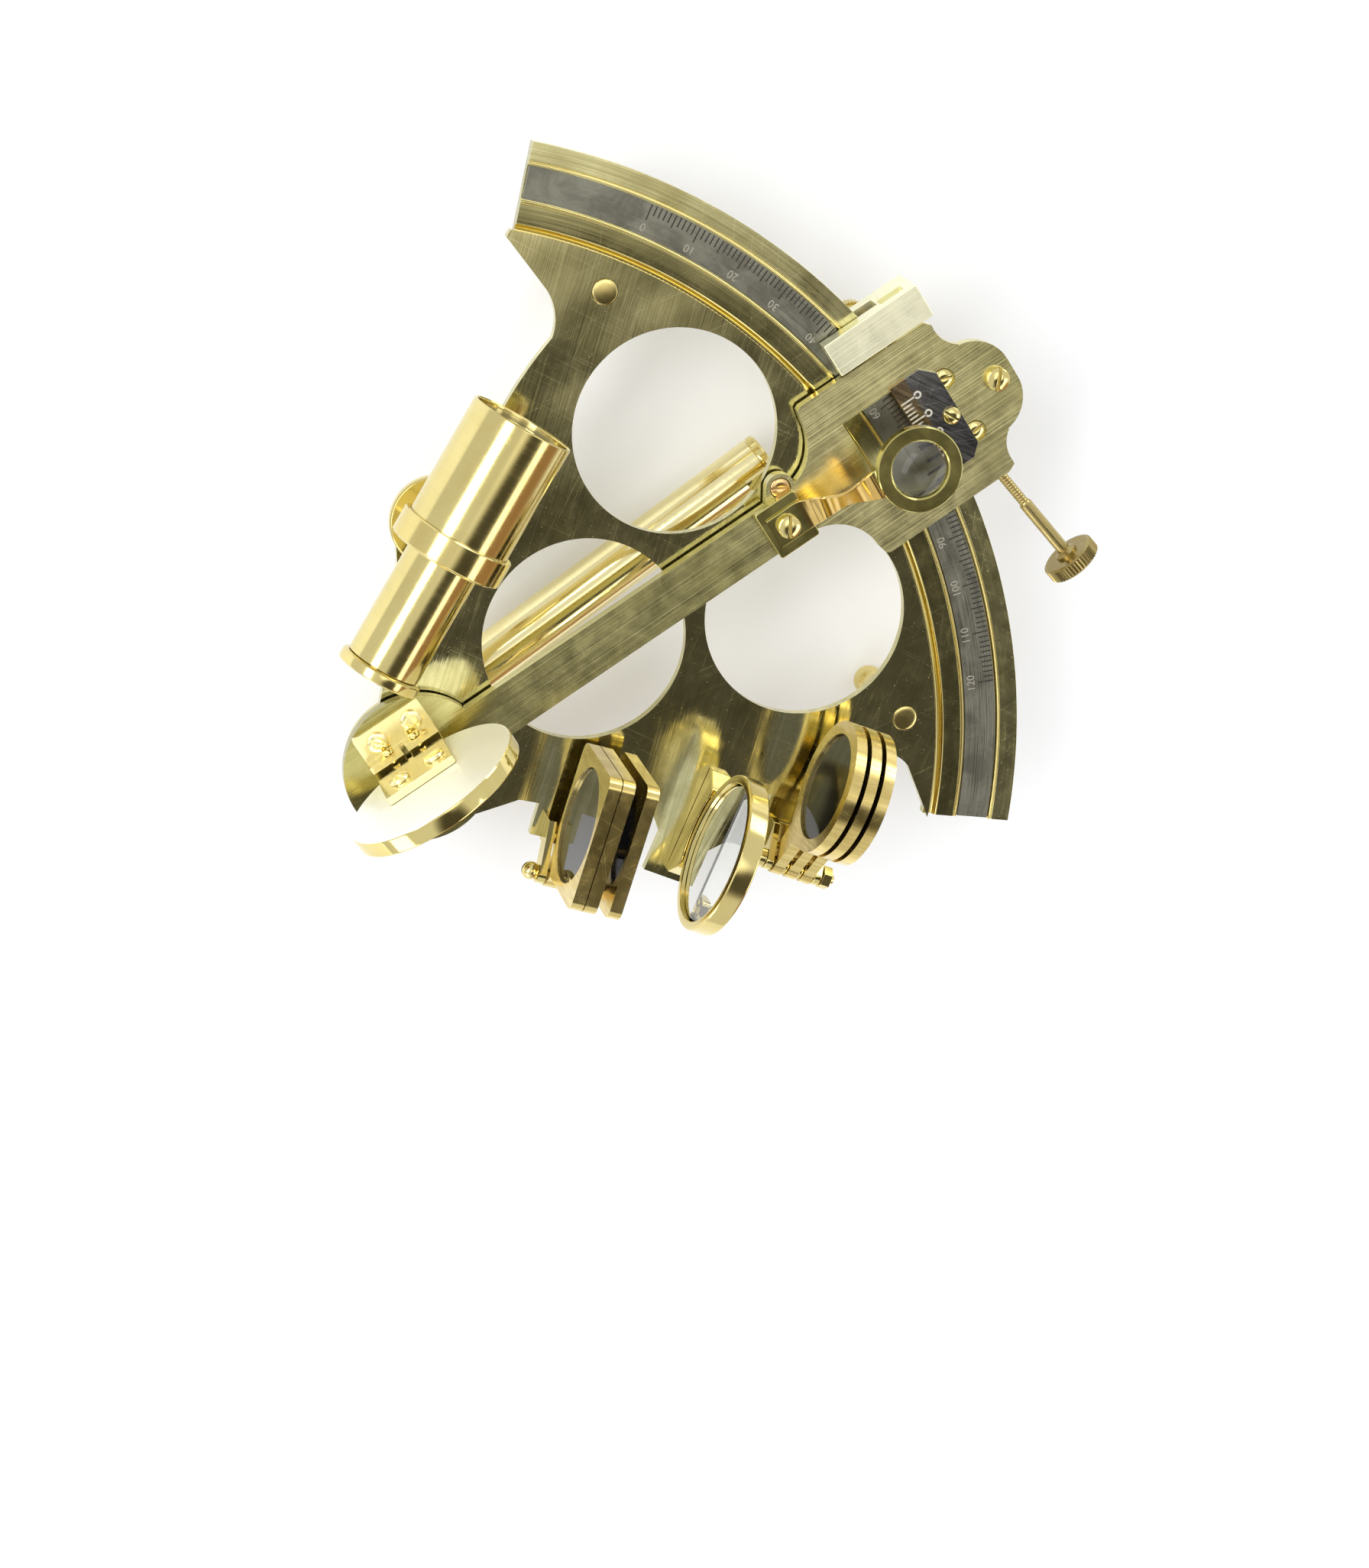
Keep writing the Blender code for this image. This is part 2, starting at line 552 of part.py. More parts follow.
def make_index_mirror(shop, arm):
    """A round brass holder standing across the arm's head, on two plates with adjusting screws."""
    along, up = INDEX_MIRROR_AT
    low = ARM_TOP + GAP
    base = block(-18.6, -8.6, -6.4, 15.2, low, low + 2.2)
    lip = block(-10.6, -8.6, -6.4, 15.2, low + 1.0, low + 7.4)
    seat = [moved(rod(1.5, 0, 20), -14.2, y) for y in (-0.6, 10.6)]
    seat += [moved(along_x(rod(1.5, -30, 0)), 0, y, low + 5.4) for y in (0.2, 8.8)]
    shop.piece("index_mirror_base", base, "brass_bright", arm, join=[lip], cut=seat)
    upright = [(-6.4, low + 0.6), (15.2, low + 0.6), (15.2, low + 27.0), (-6.4, low + 27.0)]
    plate = turned_to(standing(upright, 5.3, 7.4), "Z", 90)
    seats = [moved(along_x(rod(1.5, -30, 0)), 0, y, z)
             for y, z in ((-0.6, low + 20.0), (10.6, low + 20.0))]
    shop.piece("index_mirror_upright", plate, "brass_bright", arm, cut=seats)
    radius = INDEX_MIRROR_RADIUS
    holder = [(0, -5.0), (radius - 0.5, -5.0), (radius, -4.5), (radius, -0.3), (radius - 0.3, 0),
              (radius - 1.8, 0), (radius - 1.8, -2.2), (0, -2.2)]
    held = moved(along_x(turned(holder, FINE)), 0, along, up)
    stubs = [moved(along_x(rod(1.5, -30, -3.4)), 0, y, z)
             for y, z in ((-0.6, low + 20.0), (10.6, low + 20.0))]
    shop.piece("index_mirror_holder", held, "brass_bright", arm, cut=stubs)
    edge = radius - 1.8 - GAP
    glass = [(0, -2.2 + GAP), (edge, -2.2 + GAP), (edge, -0.5), (radius - 2.3, -0.2), (0, -0.2)]
    shop.piece("index_mirror_glass", moved(along_x(turned(glass, FINE)), 0, along, up), "mirror", arm)
    for name, y, slot in (("base_screw_lower", -0.6, 40), ("base_screw_upper", 10.6, 5)):
        screw(shop, f"index_{name}", (-14.2, y, low + 2.2 + GAP), arm, 3.0, 1.0, 1.2, 2.6, slot=slot)
    for name, y, slot in (("plate_screw_lower", -0.6, 15), ("plate_screw_upper", 10.6, 70)):
        seat = (-7.4 - GAP, y, low + 20.0)
        screw(shop, f"index_{name}", seat, arm, 3.0, 1.0, 1.2, 3.6, (-1, 0, 0), slot=slot)
    for name, y in (("adjuster_lower", 0.2), ("adjuster_upper", 8.8)):
        seat = (-10.6 - GAP, y, low + 5.4)
        screw(shop, f"index_{name}", seat, arm, 1.6, 1.1, 1.2, 2.8, (-1, 0, 0), slot=30)


# ---------------------------------------------------------------- fittings on the frame


def make_horizon_mirror(shop):
    stand = shop.assembly("horizon_mirror_body", (*HORIZON_AT, FRONT - WEB_SUNK), HORIZON_ANGLE - 90)
    foot = [(-16.2, GAP), (16.2, GAP), (16.2, 3.0), (12.4, 9.6), (-12.4, 9.6), (-16.2, 3.0)]
    radius = HORIZON_RADIUS
    ring = [(radius - 4.4, 3.4), (radius - 4.4, 1.6), (radius - 2.6, 1.6), (radius - 2.6, -2.6),
            (radius - 0.3, -2.6), (radius, -2.3), (radius, 3.1), (radius - 0.3, 3.4)]
    up = HORIZON_UP
    socket = moved(along_y(rod(radius + GAP, -8, 8, FINE)), 0, 0, up)
    ear = rounded([(14.5, up - 9.0), (20.5, up - 9.0), (20.5, up - 1.0), (14.5, up - 1.0)], 1.5, 2)
    ear = standing(ear, 3.0, 5.4)
    shop.piece("horizon_mirror_foot", standing(foot, -3.2, 2.8), "brass", stand, cut=[socket])
    ring = moved(along_y(turned(ring, FINE)), 0, 0, up)
    shop.piece("horizon_mirror_ring", ring, "brass_bright", stand, join=[ear])
    seat = (18.4, 5.4 + GAP, up - 5.0)
    screw(shop, "horizon_adjuster", seat, stand, 2.2, 2.4, 1.0, 0.1, (0, 1, 0), slot=10)
    inner = radius - 2.6 - GAP
    glass = [(0, -1.2), (inner, -1.2), (inner, 1.2), (0, 1.2)]
    half = moved(along_y(turned(glass, FINE)), 0, 0, up)
    silver_cut = block(-30, 30, -5, 5, up - 0.15, up + 40)
    clear_cut = block(-30, 30, -5, 5, up - 40, up + 0.15)
    shop.piece("horizon_mirror_silvered", half, "mirror", stand, cut=[silver_cut])
    other = moved(along_y(turned(glass, FINE)), 0, 0, up)
    shop.piece("horizon_mirror_clear", other, "clear_glass", stand, cut=[clear_cut])


def shade_bracket(shop, name, pin_at, pin_up, angle, low, high, tab_end):
    """A saddle on the web's tab, whose two ears carry the shades' pin at either end of the stack."""
    web = FRONT - WEB_SUNK
    stand = shop.assembly(f"{name}_body", (*pin_at, web), angle - 90)
    saddle = block(tab_end - 7.0, tab_end, low - 2.6, high + 2.6, GAP, 2.6)
    ears = []
    for y0, y1 in ((low - 2.6, low - 0.4), (high + 0.4, high + 2.6)):
        side = [(tab_end - 7.0, GAP), (0, pin_up - 3.0)] + arc((0, pin_up), 3.0, -60, 100, 6)
        side += [(tab_end - 7.0, 5.0)]
        ears.append(standing(side, y0, y1))
    hole = moved(along_y(rod(1.6, -60, 60)), 0, 0, pin_up)
    shop.piece(name, saddle, "brass", stand, join=ears, cut=[hole])
    return stand


def square_shade(pin_to_centre):
    """The index shade's frame in the XZ plane about its pin: a square with a tail to the pin."""
    cx, cz = pin_to_centre
    corners = [(cx + 19.6, cz - 12.0), (cx + 19.6, cz + 18.3), (cx - 19.8, cz + 18.3), (cx - 19.8, cz - 18.3),
               (cx + 12.0, cz - 18.3)]
    return rounded(corners, 3.2, 3)


def make_index_shades(shop):
    places = (-7.3, -3.4, 3.7)
    thick = 3.6
    low, high = places[0], places[-1] + thick
    stand = shade_bracket(
        shop, "index_shade_bracket", INDEX_SHADE_PIN, INDEX_SHADE_PIN_UP, INDEX_SHADE_ANGLE, low, high, -7.6
    )
    cx, cz = -20.5, 16.5
    pin = [(0, low - 6.4), (1.8, low - 6.2), (2.7, low - 4.9), (2.2, low - 3.4), (1.3, low - 2.9),
           (1.3, high + 3.2), (2.6, high + 3.2), (2.6, high + 5.0), (0, high + 5.0)]
    pin = moved(along_y(turned(pin, SMALL)), 0, 0, INDEX_SHADE_PIN_UP)
    shop.piece("index_shade_pin", pin, "brass_bright", stand)
    for i, y in enumerate(places, 1):
        swing = shop.assembly(f"index_shade_{i}_body", (0, 0, 0))
        swing.parent = stand
        swing.location = Vector((0, 0, INDEX_SHADE_PIN_UP)) * MM
        shade(shop, f"index_shade_{i}", swing, square_shade((cx, cz)), (cx, cz), 16.6, y, thick)


def round_shade(pin_to_centre, radius):
    """The horizon shade's ring in the XZ plane about its pin: a circle with a tail to the pin."""
    cx, cz = pin_to_centre
    tail = degrees(atan2(-cz, -cx))
    points = arc((cx, cz), radius, tail + 26, tail + 334, 28)
    reach = sqrt(cx * cx + cz * cz)
    along = Vector((-cx / reach, -cz / reach))
    side = Vector((-along.y, along.x))
    neck = Vector((cx, cz)) + along * (radius + 1.0)
    return [tuple(neck + side * 5.2), *points, tuple(neck - side * 5.2)]


def shade(shop, name, swing, outline, centre, glass_radius, y, thick):
    """A shade: its plate with a knuckle round the pin, and the dark glass in it."""
    cx, cz = centre
    plate = standing(outline, y, y + thick)
    knuckle = standing(arc((0, 0), 3.4, 0, 330, 11), y, y + thick)
    reach = sqrt(cx * cx + cz * cz)
    away = Vector((cx / reach, cz / reach))
    side = Vector((-away.y, away.x)) * 3.0
    far = away * (reach - glass_radius - 1.2)
    link = [-side, far - side * 1.5, far + side * 1.5, side]
    tail = standing([tuple(p) for p in link], y + 0.01, y + thick - 0.01)
    bore = along_y(rod(1.6, -60, 60))
    opening = moved(along_y(rod(glass_radius, -60, 60, FINE)), cx, 0, cz)
    shop.piece(f"{name}_frame", plate, "brass_bright", swing, join=[tail, knuckle], cut=[bore, opening])
    edge = glass_radius - GAP
    glass = [(0, y + 0.9), (edge, y + 0.9), (edge, y + thick - 0.9), (0, y + thick - 0.9)]
    shop.piece(f"{name}_glass", moved(along_y(turned(glass, FINE)), cx, 0, cz), "smoked_glass", swing)


def make_horizon_shades(shop):
    thick, pitch = 3.2, 4.6
    places = [-6.2 + pitch * i for i in range(3)]
    low, high = places[0], places[-1] + thick
    stand = shade_bracket(
        shop, "horizon_shade_bracket", HORIZON_SHADE_PIN, HORIZON_SHADE_PIN_UP, HORIZON_SHADE_ANGLE,
        low, high, -3.0,
    )
    cx, cz = -29.0, 16.5
    pin = [(0, low - 5.2), (2.4, low - 5.2), (2.8, low - 4.6), (2.8, low - 3.0), (1.3, low - 3.0),
           (1.3, high + 3.0), (3.2, high + 3.0), (3.2, high + 6.4), (0, high + 6.4)]
    pin = moved(along_y(turned(pin, SMALL)), 0, 0, HORIZON_SHADE_PIN_UP)
    shop.piece("horizon_shade_pin", pin, "brass_bright", stand)
    for i, y in enumerate(places, 1):
        swing = shop.assembly(f"horizon_shade_{i}_body", (0, 0, 0))
        swing.parent = stand
        swing.location = Vector((0, 0, HORIZON_SHADE_PIN_UP)) * MM
        shade(shop, f"horizon_shade_{i}", swing, round_shade((cx, cz), 19.5), (cx, cz), 15.6, y, thick)


def make_telescope(shop):
    """A collar on a stem through the frame, the main tube in it, and a draw tube that slides for focus."""
    web = FRONT - WEB_SUNK
    base = shop.assembly("telescope_body", (*TELESCOPE_AT, web), TELESCOPE_ANGLE)
    up = TELESCOPE_UP
    stem = [(0, -10.0), (3.2, -10.0), (3.2, GAP), (12.4, GAP), (13.0, 0.9), (13.0, 2.4), (12.4, 3.0),
            (4.6, 3.6), (4.0, 5.0), (4.0, up - 15.4), (0, up - 15.4)]
    collar = [(15.0, -3.75), (16.3, -3.75), (16.3, 3.75), (15.0, 3.75)]
    band = moved(along_y(turned(collar, FINE)), 0, 0, up)
    shop.piece("telescope_collar", turned(stem, ROUND), "brass_bright", base, join=[band])
    outer = 15.0 - GAP
    tube = [(outer - 1.2, 38.0), (outer - 0.3, 38.3), (outer, 38.0), (outer, -4.4), (10.8, -4.4),
            (10.8, -2.6), (outer - 1.2, -2.6)]
    shop.piece("telescope_tube", moved(along_y(turned(tube, FINE)), 0, 0, up), "brass_bright", base)
    inner = outer - 1.2 - GAP
    lens = [(0, 34.0), (inner, 34.6), (inner, 36.0), (0, 37.0)]
    shop.piece("objective_lens", moved(along_y(turned(lens, FINE)), 0, 0, up), "clear_glass", base)
    draw = shop.assembly("draw_tube_body", (0, 0, 0))
    draw.parent = base
    draw.location = Vector((0, 0, up)) * MM
    sleeve = [(9.6, -37.4), (10.5, -37.4), (10.5, 5.0), (9.6, 5.0)]
    shop.piece("draw_tube", along_y(turned(sleeve, FINE)), "brass_bright", draw)
    cap = [(4.6, -41.0), (11.4, -41.0), (11.9, -40.5), (11.9, -38.2), (11.4, -37.4 - GAP),
           (9.6 - GAP, -37.4 - GAP), (9.6 - GAP, -34.6), (8.4, -34.6), (8.4, -38.6), (4.6, -38.6)]
    shop.piece("eyepiece_ring", along_y(turned(cap, FINE)), "brass_bright", draw)
    eye = [(0, -38.3), (8.4 - GAP, -37.9), (8.4 - GAP, -36.6), (0, -35.6)]
    shop.piece("eyepiece_lens", along_y(turned(eye, ROUND)), "clear_glass", draw)


def main():
    clear_scene()
    shop = Workshop(make_materials())
    root = make_frame(shop)
    shaft = make_pivot(shop, root)
    make_handle(shop, root)
    arm = shop.assembly("index_arm_body", (0, 0, FRONT), -ARM_ANGLE)
    make_arm(shop, arm, shaft)
    make_vernier(shop, arm)
    make_magnifier(shop, arm)
    make_carriage(shop, arm)
    make_index_mirror(shop, arm)
    make_horizon_mirror(shop)
    make_index_shades(shop)
    make_horizon_shades(shop)
    make_telescope(shop)


main()
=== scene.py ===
"""A polished brass nautical sextant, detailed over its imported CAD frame.

Shapes are modelled in millimetres around the axes they turn or slide on, and placed by the matrices below.
"""

from math import asin, atan2, cos, degrees, pi, radians, sin, sqrt

import bmesh
import bpy
from mathutils import Matrix, Vector


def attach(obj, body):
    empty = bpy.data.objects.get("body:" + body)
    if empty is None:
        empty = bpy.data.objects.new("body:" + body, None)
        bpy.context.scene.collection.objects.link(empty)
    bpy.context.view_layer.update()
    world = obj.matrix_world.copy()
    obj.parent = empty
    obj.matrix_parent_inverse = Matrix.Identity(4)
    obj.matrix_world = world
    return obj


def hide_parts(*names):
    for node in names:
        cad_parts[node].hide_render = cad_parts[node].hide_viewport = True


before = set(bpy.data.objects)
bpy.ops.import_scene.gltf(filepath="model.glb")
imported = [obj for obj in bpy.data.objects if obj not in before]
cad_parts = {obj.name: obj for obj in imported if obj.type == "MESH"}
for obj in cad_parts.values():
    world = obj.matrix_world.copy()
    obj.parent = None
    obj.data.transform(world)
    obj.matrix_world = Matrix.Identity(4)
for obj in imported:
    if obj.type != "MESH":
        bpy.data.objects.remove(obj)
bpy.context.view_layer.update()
MM = 0.001

# The same driving sizes as the CAD
FRONT = 44.0
LIMB_OUTER = 180.0
LIMB_INNER = 154.0
LIMB_HALF_ANGLE = 43.0
LIMB_THICK = 4.0
WEB_THICK = 3.0
WEB_TOP = FRONT - 0.4
STRIP_INNER = 164.3
STRIP_OUTER = 173.4
STRIP_TOP = FRONT - 0.1
HOLE_RADIUS = 29.2
ARM_ANGLE = 2.4
ARM_LOW = 1.0
ARM_TOP = 4.6
GAP = 0.3
TELESCOPE_AT = (-53.9, 49.6)
TANGENT_AT = (25.4, 187.8, -2.4)
TANGENT_TILT = 8.0
CLAMP_AT = (-31.3, 176.0)
MAGNIFIER_ALONG = 128.0
STUD_RADIUS, STUD_ANGLE = 146.3, 31.9
# The lines that the mirror and the shades stand across, in degrees from +X
MIRROR_LINE, INDEX_SHADE_LINE, HORIZON_SHADE_LINE = 31.6, 37.7, 33.1
# Engraved lines lie this far above the metal, bottom and top
LINE_LOW, LINE_HIGH = 0.004, 0.03
# The radius at which grain along the arc is measured
GRAIN_RADIUS = 170.0


# ---------------------------------------------------------------- places


def place(x, y, z, turn=0.0):
    return Matrix.Translation(Vector((x, y, z)) * MM) @ Matrix.Rotation(radians(turn), 4, "Z")


ROOT = Matrix.Identity(4)
ARM = place(0, 0, FRONT, -ARM_ANGLE)
MAGNIFIER = ARM @ place(0, MAGNIFIER_ALONG, 0)
CLAMP = ARM @ place(*CLAMP_AT, 0)
TANGENT = ARM @ place(*TANGENT_AT, TANGENT_TILT)
HORIZON = place(64.9, 58.4, WEB_TOP, MIRROR_LINE - 90)
INDEX_SHADES = place(52.6, 19.4, WEB_TOP, INDEX_SHADE_LINE - 90)
HORIZON_SHADES = place(90.0, 72.5, WEB_TOP, HORIZON_SHADE_LINE - 90)
TELESCOPE = place(*TELESCOPE_AT, WEB_TOP, 24.4)


# ---------------------------------------------------------------- shapes


def polar(radius, angle):
    """A point at an angle clockwise from +Y."""
    return (radius * sin(radians(angle)), radius * cos(radians(angle)))


def arc(centre, radius, start, end, steps):
    turn = [start + (end - start) * i / steps for i in range(steps + 1)]
    return [(centre[0] + radius * cos(radians(a)), centre[1] + radius * sin(radians(a))) for a in turn]


def blend_arc(start, end, bulge, steps=16):
    """The points between two ends, on an arc that bulges by so much."""
    a, b = Vector(start), Vector(end)
    chord = b - a
    left = Vector((-chord.y, chord.x)).normalized()
    radius = (chord.length_squared / 4 + bulge**2) / (2 * abs(bulge))
    side = 1 if bulge > 0 else -1
    centre = (a + b) / 2 + left * (bulge - side * radius)
    half = asin(min(1.0, chord.length / (2 * radius)))
    first = atan2(a.y - centre.y, a.x - centre.x)
    turn = -side * 2 * half
    angles = [first + turn * i / steps for i in range(1, steps)]
    return [(centre.x + radius * cos(angle), centre.y + radius * sin(angle)) for angle in angles]


def rounded(corners, radius, steps=8):
    """A closed outline with each corner rounded. Corners run anticlockwise."""
    points = []
    count = len(corners)
    for i, corner in enumerate(corners):
        here = Vector(corner)
        before = (Vector(corners[i - 1]) - here).normalized()
        after = (Vector(corners[(i + 1) % count]) - here).normalized()
        half = before.angle(after) / 2
        reach = radius / (sin(half) / cos(half))
        middle = here + (before + after).normalized() * radius / sin(half)
        first, last = here + before * reach, here + after * reach
        a0 = atan2(first.y - middle.y, first.x - middle.x)
        a1 = atan2(last.y - middle.y, last.x - middle.x)
        turn = (a1 - a0 + pi) % (2 * pi) - pi
        for step in range(steps + 1):
            a = a0 + turn * step / steps
            points.append((middle.x + radius * cos(a), middle.y + radius * sin(a)))
    return points


def prism(outline, low, high):
    bm = bmesh.new()
    face = bm.faces.new([bm.verts.new((x, y, low)) for x, y in outline])
    swept = bmesh.ops.extrude_face_region(bm, geom=[face])
    tops = [v for v in swept["geom"] if isinstance(v, bmesh.types.BMVert)]
    bmesh.ops.translate(bm, verts=tops, vec=(0, 0, high - low))
    bmesh.ops.recalc_face_normals(bm, faces=bm.faces)
    return bm


def block(x0, x1, y0, y1, z0, z1):
    return prism([(x0, y0), (x1, y0), (x1, y1), (x0, y1)], z0, z1)


def turned(profile, steps=96):
    """A closed profile of (radius, height) points, turned about Z. A point at radius 0 is a pole."""
    bm = bmesh.new()
    rings = []
    for radius, height in profile:
        if radius < 1e-6:
            rings.append([bm.verts.new((0, 0, height))])
            continue
        turns = [2 * pi * i / steps for i in range(steps)]
        rings.append([bm.verts.new((radius * cos(a), radius * sin(a), height)) for a in turns])
    for i, ring in enumerate(rings):
        following = rings[(i + 1) % len(rings)]
        if len(ring) == 1 and len(following) == 1:
            continue
        for k in range(steps):
            n = (k + 1) % steps
            corners = [ring[k % len(ring)], ring[n % len(ring)], following[n % len(following)]]
            corners.append(following[k % len(following)])
            bm.faces.new(list(dict.fromkeys(corners)))
    bmesh.ops.recalc_face_normals(bm, faces=bm.faces)
    return bm


def swept_sector(profile, half_angle, steps):
    bm = bmesh.new()
    sections = []
    for i in range(steps + 1):
        angle = -half_angle + 2 * half_angle * i / steps
        sections.append([bm.verts.new((*polar(radius, angle), height)) for radius, height in profile])
    for one, two in zip(sections, sections[1:]):
        for k in range(len(profile)):
            n = (k + 1) % len(profile)
            bm.faces.new([one[k], one[n], two[n], two[k]])
    bm.faces.new(sections[0])
    bm.faces.new(sections[-1])
    bmesh.ops.recalc_face_normals(bm, faces=bm.faces)
    return bm


def rod(radius, low, high, steps=40):
    return turned([(0, low), (radius, low), (radius, high), (0, high)], steps)


def moved(bm, x=0.0, y=0.0, z=0.0):
    bmesh.ops.translate(bm, verts=bm.verts, vec=(x, y, z))
    return bm


def turned_to(bm, axis, angle):
    bmesh.ops.rotate(bm, verts=bm.verts, matrix=Matrix.Rotation(radians(angle), 3, axis))
    return bm


def along_y(bm):
    return turned_to(bm, "X", -90)


def along_x(bm):
    return turned_to(bm, "Y", 90)


def turned_y(profile, steps, x=0.0, z=0.0):
    """A profile turned about a line along Y."""
    return moved(along_y(turned(profile, steps)), x, 0, z)


def turned_x(profile, steps, y=0.0, z=0.0):
    """A profile turned about a line along X."""
    return moved(along_x(turned(profile, steps)), 0, y, z)


def standing(outline, low, high):
    """A plate in the XZ plane, low to high along Y."""
    return turned_to(prism(outline, -high, -low), "X", 90)


def merged(*shapes):
    """Separate shapes in one mesh."""
    whole = bmesh.new()
    for shape in shapes:
        spare = bpy.data.meshes.new("spare")
        shape.to_mesh(spare)
        shape.free()
        whole.from_mesh(spare)
        bpy.data.meshes.remove(spare)
    return whole


def fluted(radius, depth, teeth, low, high, steps=4):
    """A disc about Z with a knurled rim."""
    points = []
    for i in range(teeth * steps):
        a = 2 * pi * i / (teeth * steps)
        r = radius - depth * (0.5 - 0.5 * cos(teeth * a)) ** 1.4
        points.append((r * cos(a), r * sin(a)))
    return prism(points, low, high)


def thread(inner, outer, pitch, low, high, steps=28):
    """A threaded rod about Z: a helical V rolled round a core, closed with flat ends."""
    bm = bmesh.new()
    turns = int((high - low) / pitch)
    rows = []
    levels = 4
    count = turns * levels + 1
    for j in range(count):
        row = []
        for i in range(steps):
            share = i / steps
            z = low + (j / levels) * pitch
            phase = ((z - low) / pitch + share) % 1.0
            r = inner + (outer - inner) * (1 - abs(2 * phase - 1))
            if j in (0, count - 1):
                r = inner
            a = 2 * pi * share
            row.append(bm.verts.new((r * cos(a), r * sin(a), z)))
        rows.append(row)
    for one, two in zip(rows, rows[1:]):
        for k in range(steps):
            n = (k + 1) % steps
            bm.faces.new([one[k], one[n], two[n], two[k]])
    bm.faces.new(rows[0])
    bm.faces.new(rows[-1])
    bmesh.ops.recalc_face_normals(bm, faces=bm.faces)
    return bm


# ---------------------------------------------------------------- materials


class Nodes:
    """A material's node tree, with short calls for the nodes that the metals share."""

    def __init__(self, name):
        self.material = bpy.data.materials.new(name)
        self.material.use_nodes = True
        self.tree = self.material.node_tree
        self.shader = self.tree.nodes["Principled BSDF"]
        self.place = self.add("ShaderNodeTexCoord").outputs["Object"]

    def add(self, kind, **settings):
        node = self.tree.nodes.new(kind)
        for key, value in settings.items():
            setattr(node, key, value)
        return node

    def link(self, output, target):
        self.tree.links.new(output, target)

    def mapped(self, scale, turn=0.0, vector=None):
        source = self.place if vector is None else vector
        if turn:
            spin = self.add("ShaderNodeVectorRotate", rotation_type="Z_AXIS")
            spin.inputs["Angle"].default_value = radians(turn)
            self.link(source, spin.inputs["Vector"])
            source = spin.outputs["Vector"]
        node = self.add("ShaderNodeMapping")
        node.inputs["Scale"].default_value = [s / MM for s in scale] if vector is None else scale
        self.link(source, node.inputs["Vector"])
        return node.outputs["Vector"]

    def noise(self, vector, detail=2.0, rough=0.5, distortion=0.0):
        node = self.add("ShaderNodeTexNoise")
        node.inputs["Scale"].default_value = 1.0
        node.inputs["Detail"].default_value = detail
        node.inputs["Roughness"].default_value = rough
        node.inputs["Distortion"].default_value = distortion
        self.link(vector, node.inputs["Vector"])
        return node.outputs["Fac"]

    def cloud(self, scale, *settings):
        """Noise of one size in every direction."""
        return self.noise(self.mapped((scale, scale, scale)), *settings)

    def math(self, operation, a, b=0.0, c=0.0, clamp=False):
        node = self.add("ShaderNodeMath", operation=operation, use_clamp=clamp)
        for socket, value in zip(node.inputs, (a, b, c)):
            if isinstance(value, (int, float)):
                socket.default_value = value
            else:
                self.link(value, socket)
        return node.outputs[0]

    def ranged(self, value, low, high, to_low=0.0, to_high=1.0):
        node = self.add("ShaderNodeMapRange")
        node.inputs["From Min"].default_value = low
        node.inputs["From Max"].default_value = high
        node.inputs["To Min"].default_value = to_low
        node.inputs["To Max"].default_value = to_high
        self.link(value, node.inputs["Value"])
        return node.outputs["Result"]

    def mix(self, share, a, b):
        node = self.add("ShaderNodeMix", data_type="RGBA")
        self.link(share, node.inputs[0])
        for socket, value in ((node.inputs[6], a), (node.inputs[7], b)):
            if isinstance(value, tuple):
                socket.default_value = (*value, 1.0)
            else:
                self.link(value, socket)
        return node.outputs[2]

    def bump(self, height, distance, strength=1.0, normal=None):
        node = self.add("ShaderNodeBump")
        node.inputs["Strength"].default_value = strength
        node.inputs["Distance"].default_value = distance * MM
        self.link(height, node.inputs["Height"])
        if normal is not None:
            self.link(normal, node.inputs["Normal"])
        return node.outputs["Normal"]

    def parts(self):
        node = self.add("ShaderNodeSeparateXYZ")
        self.link(self.place, node.inputs[0])
        return node.outputs

    def reach(self, a, b):
        squares = self.math("ADD", self.math("MULTIPLY", a, a), self.math("MULTIPLY", b, b))
        return self.math("SQRT", squares)

    def joined(self, *scaled):
        """A vector from pairs of a value and its factor."""
        node = self.add("ShaderNodeCombineXYZ")
        for socket, (value, factor) in zip(node.inputs, scaled):
            self.link(self.math("MULTIPLY", value, factor), socket)
        return node.outputs[0]

    def around_pivot(self):
        """(distance from the pivot, distance along the arc, height), in millimetres."""
        x, y, z = self.parts()
        angle = self.math("ARCTAN2", x, y)
        return self.joined((self.reach(x, y), 1 / MM), (angle, GRAIN_RADIUS), (z, 1 / MM))

    def along_axis(self, axis):
        """(distance along an axis, distance from it), in millimetres, for turning marks."""
        parts = dict(zip("XYZ", self.parts()))
        length = parts.pop(axis)
        return self.joined((length, 1 / MM), (self.reach(*parts.values()), 1 / MM))

    def finish(self, colour, roughness, normal=None, **sockets):
        """Links what varies over the surface, and sets what is uniform on the shader's own sockets."""
        for name, output in (("Base Color", colour), ("Roughness", roughness), ("Normal", normal)):
            if output is not None:
                self.link(output, self.shader.inputs[name])
        for name, value in sockets.items():
            self.shader.inputs[name.replace("_", " ")].default_value = value
        return self.material


def scratches(n, seed_turns, across=3.0, along=0.035, low=0.66, high=0.74):
    """Sparse hairline scratches at several directions, as one mask."""
    total = None
    for turn in seed_turns:
        line = n.noise(n.mapped((across, along, 1.0), turn), 1.0, 0.5)
        mask = n.ranged(line, low, high)
        total = mask if total is None else n.math("MAXIMUM", total, mask)
    return total


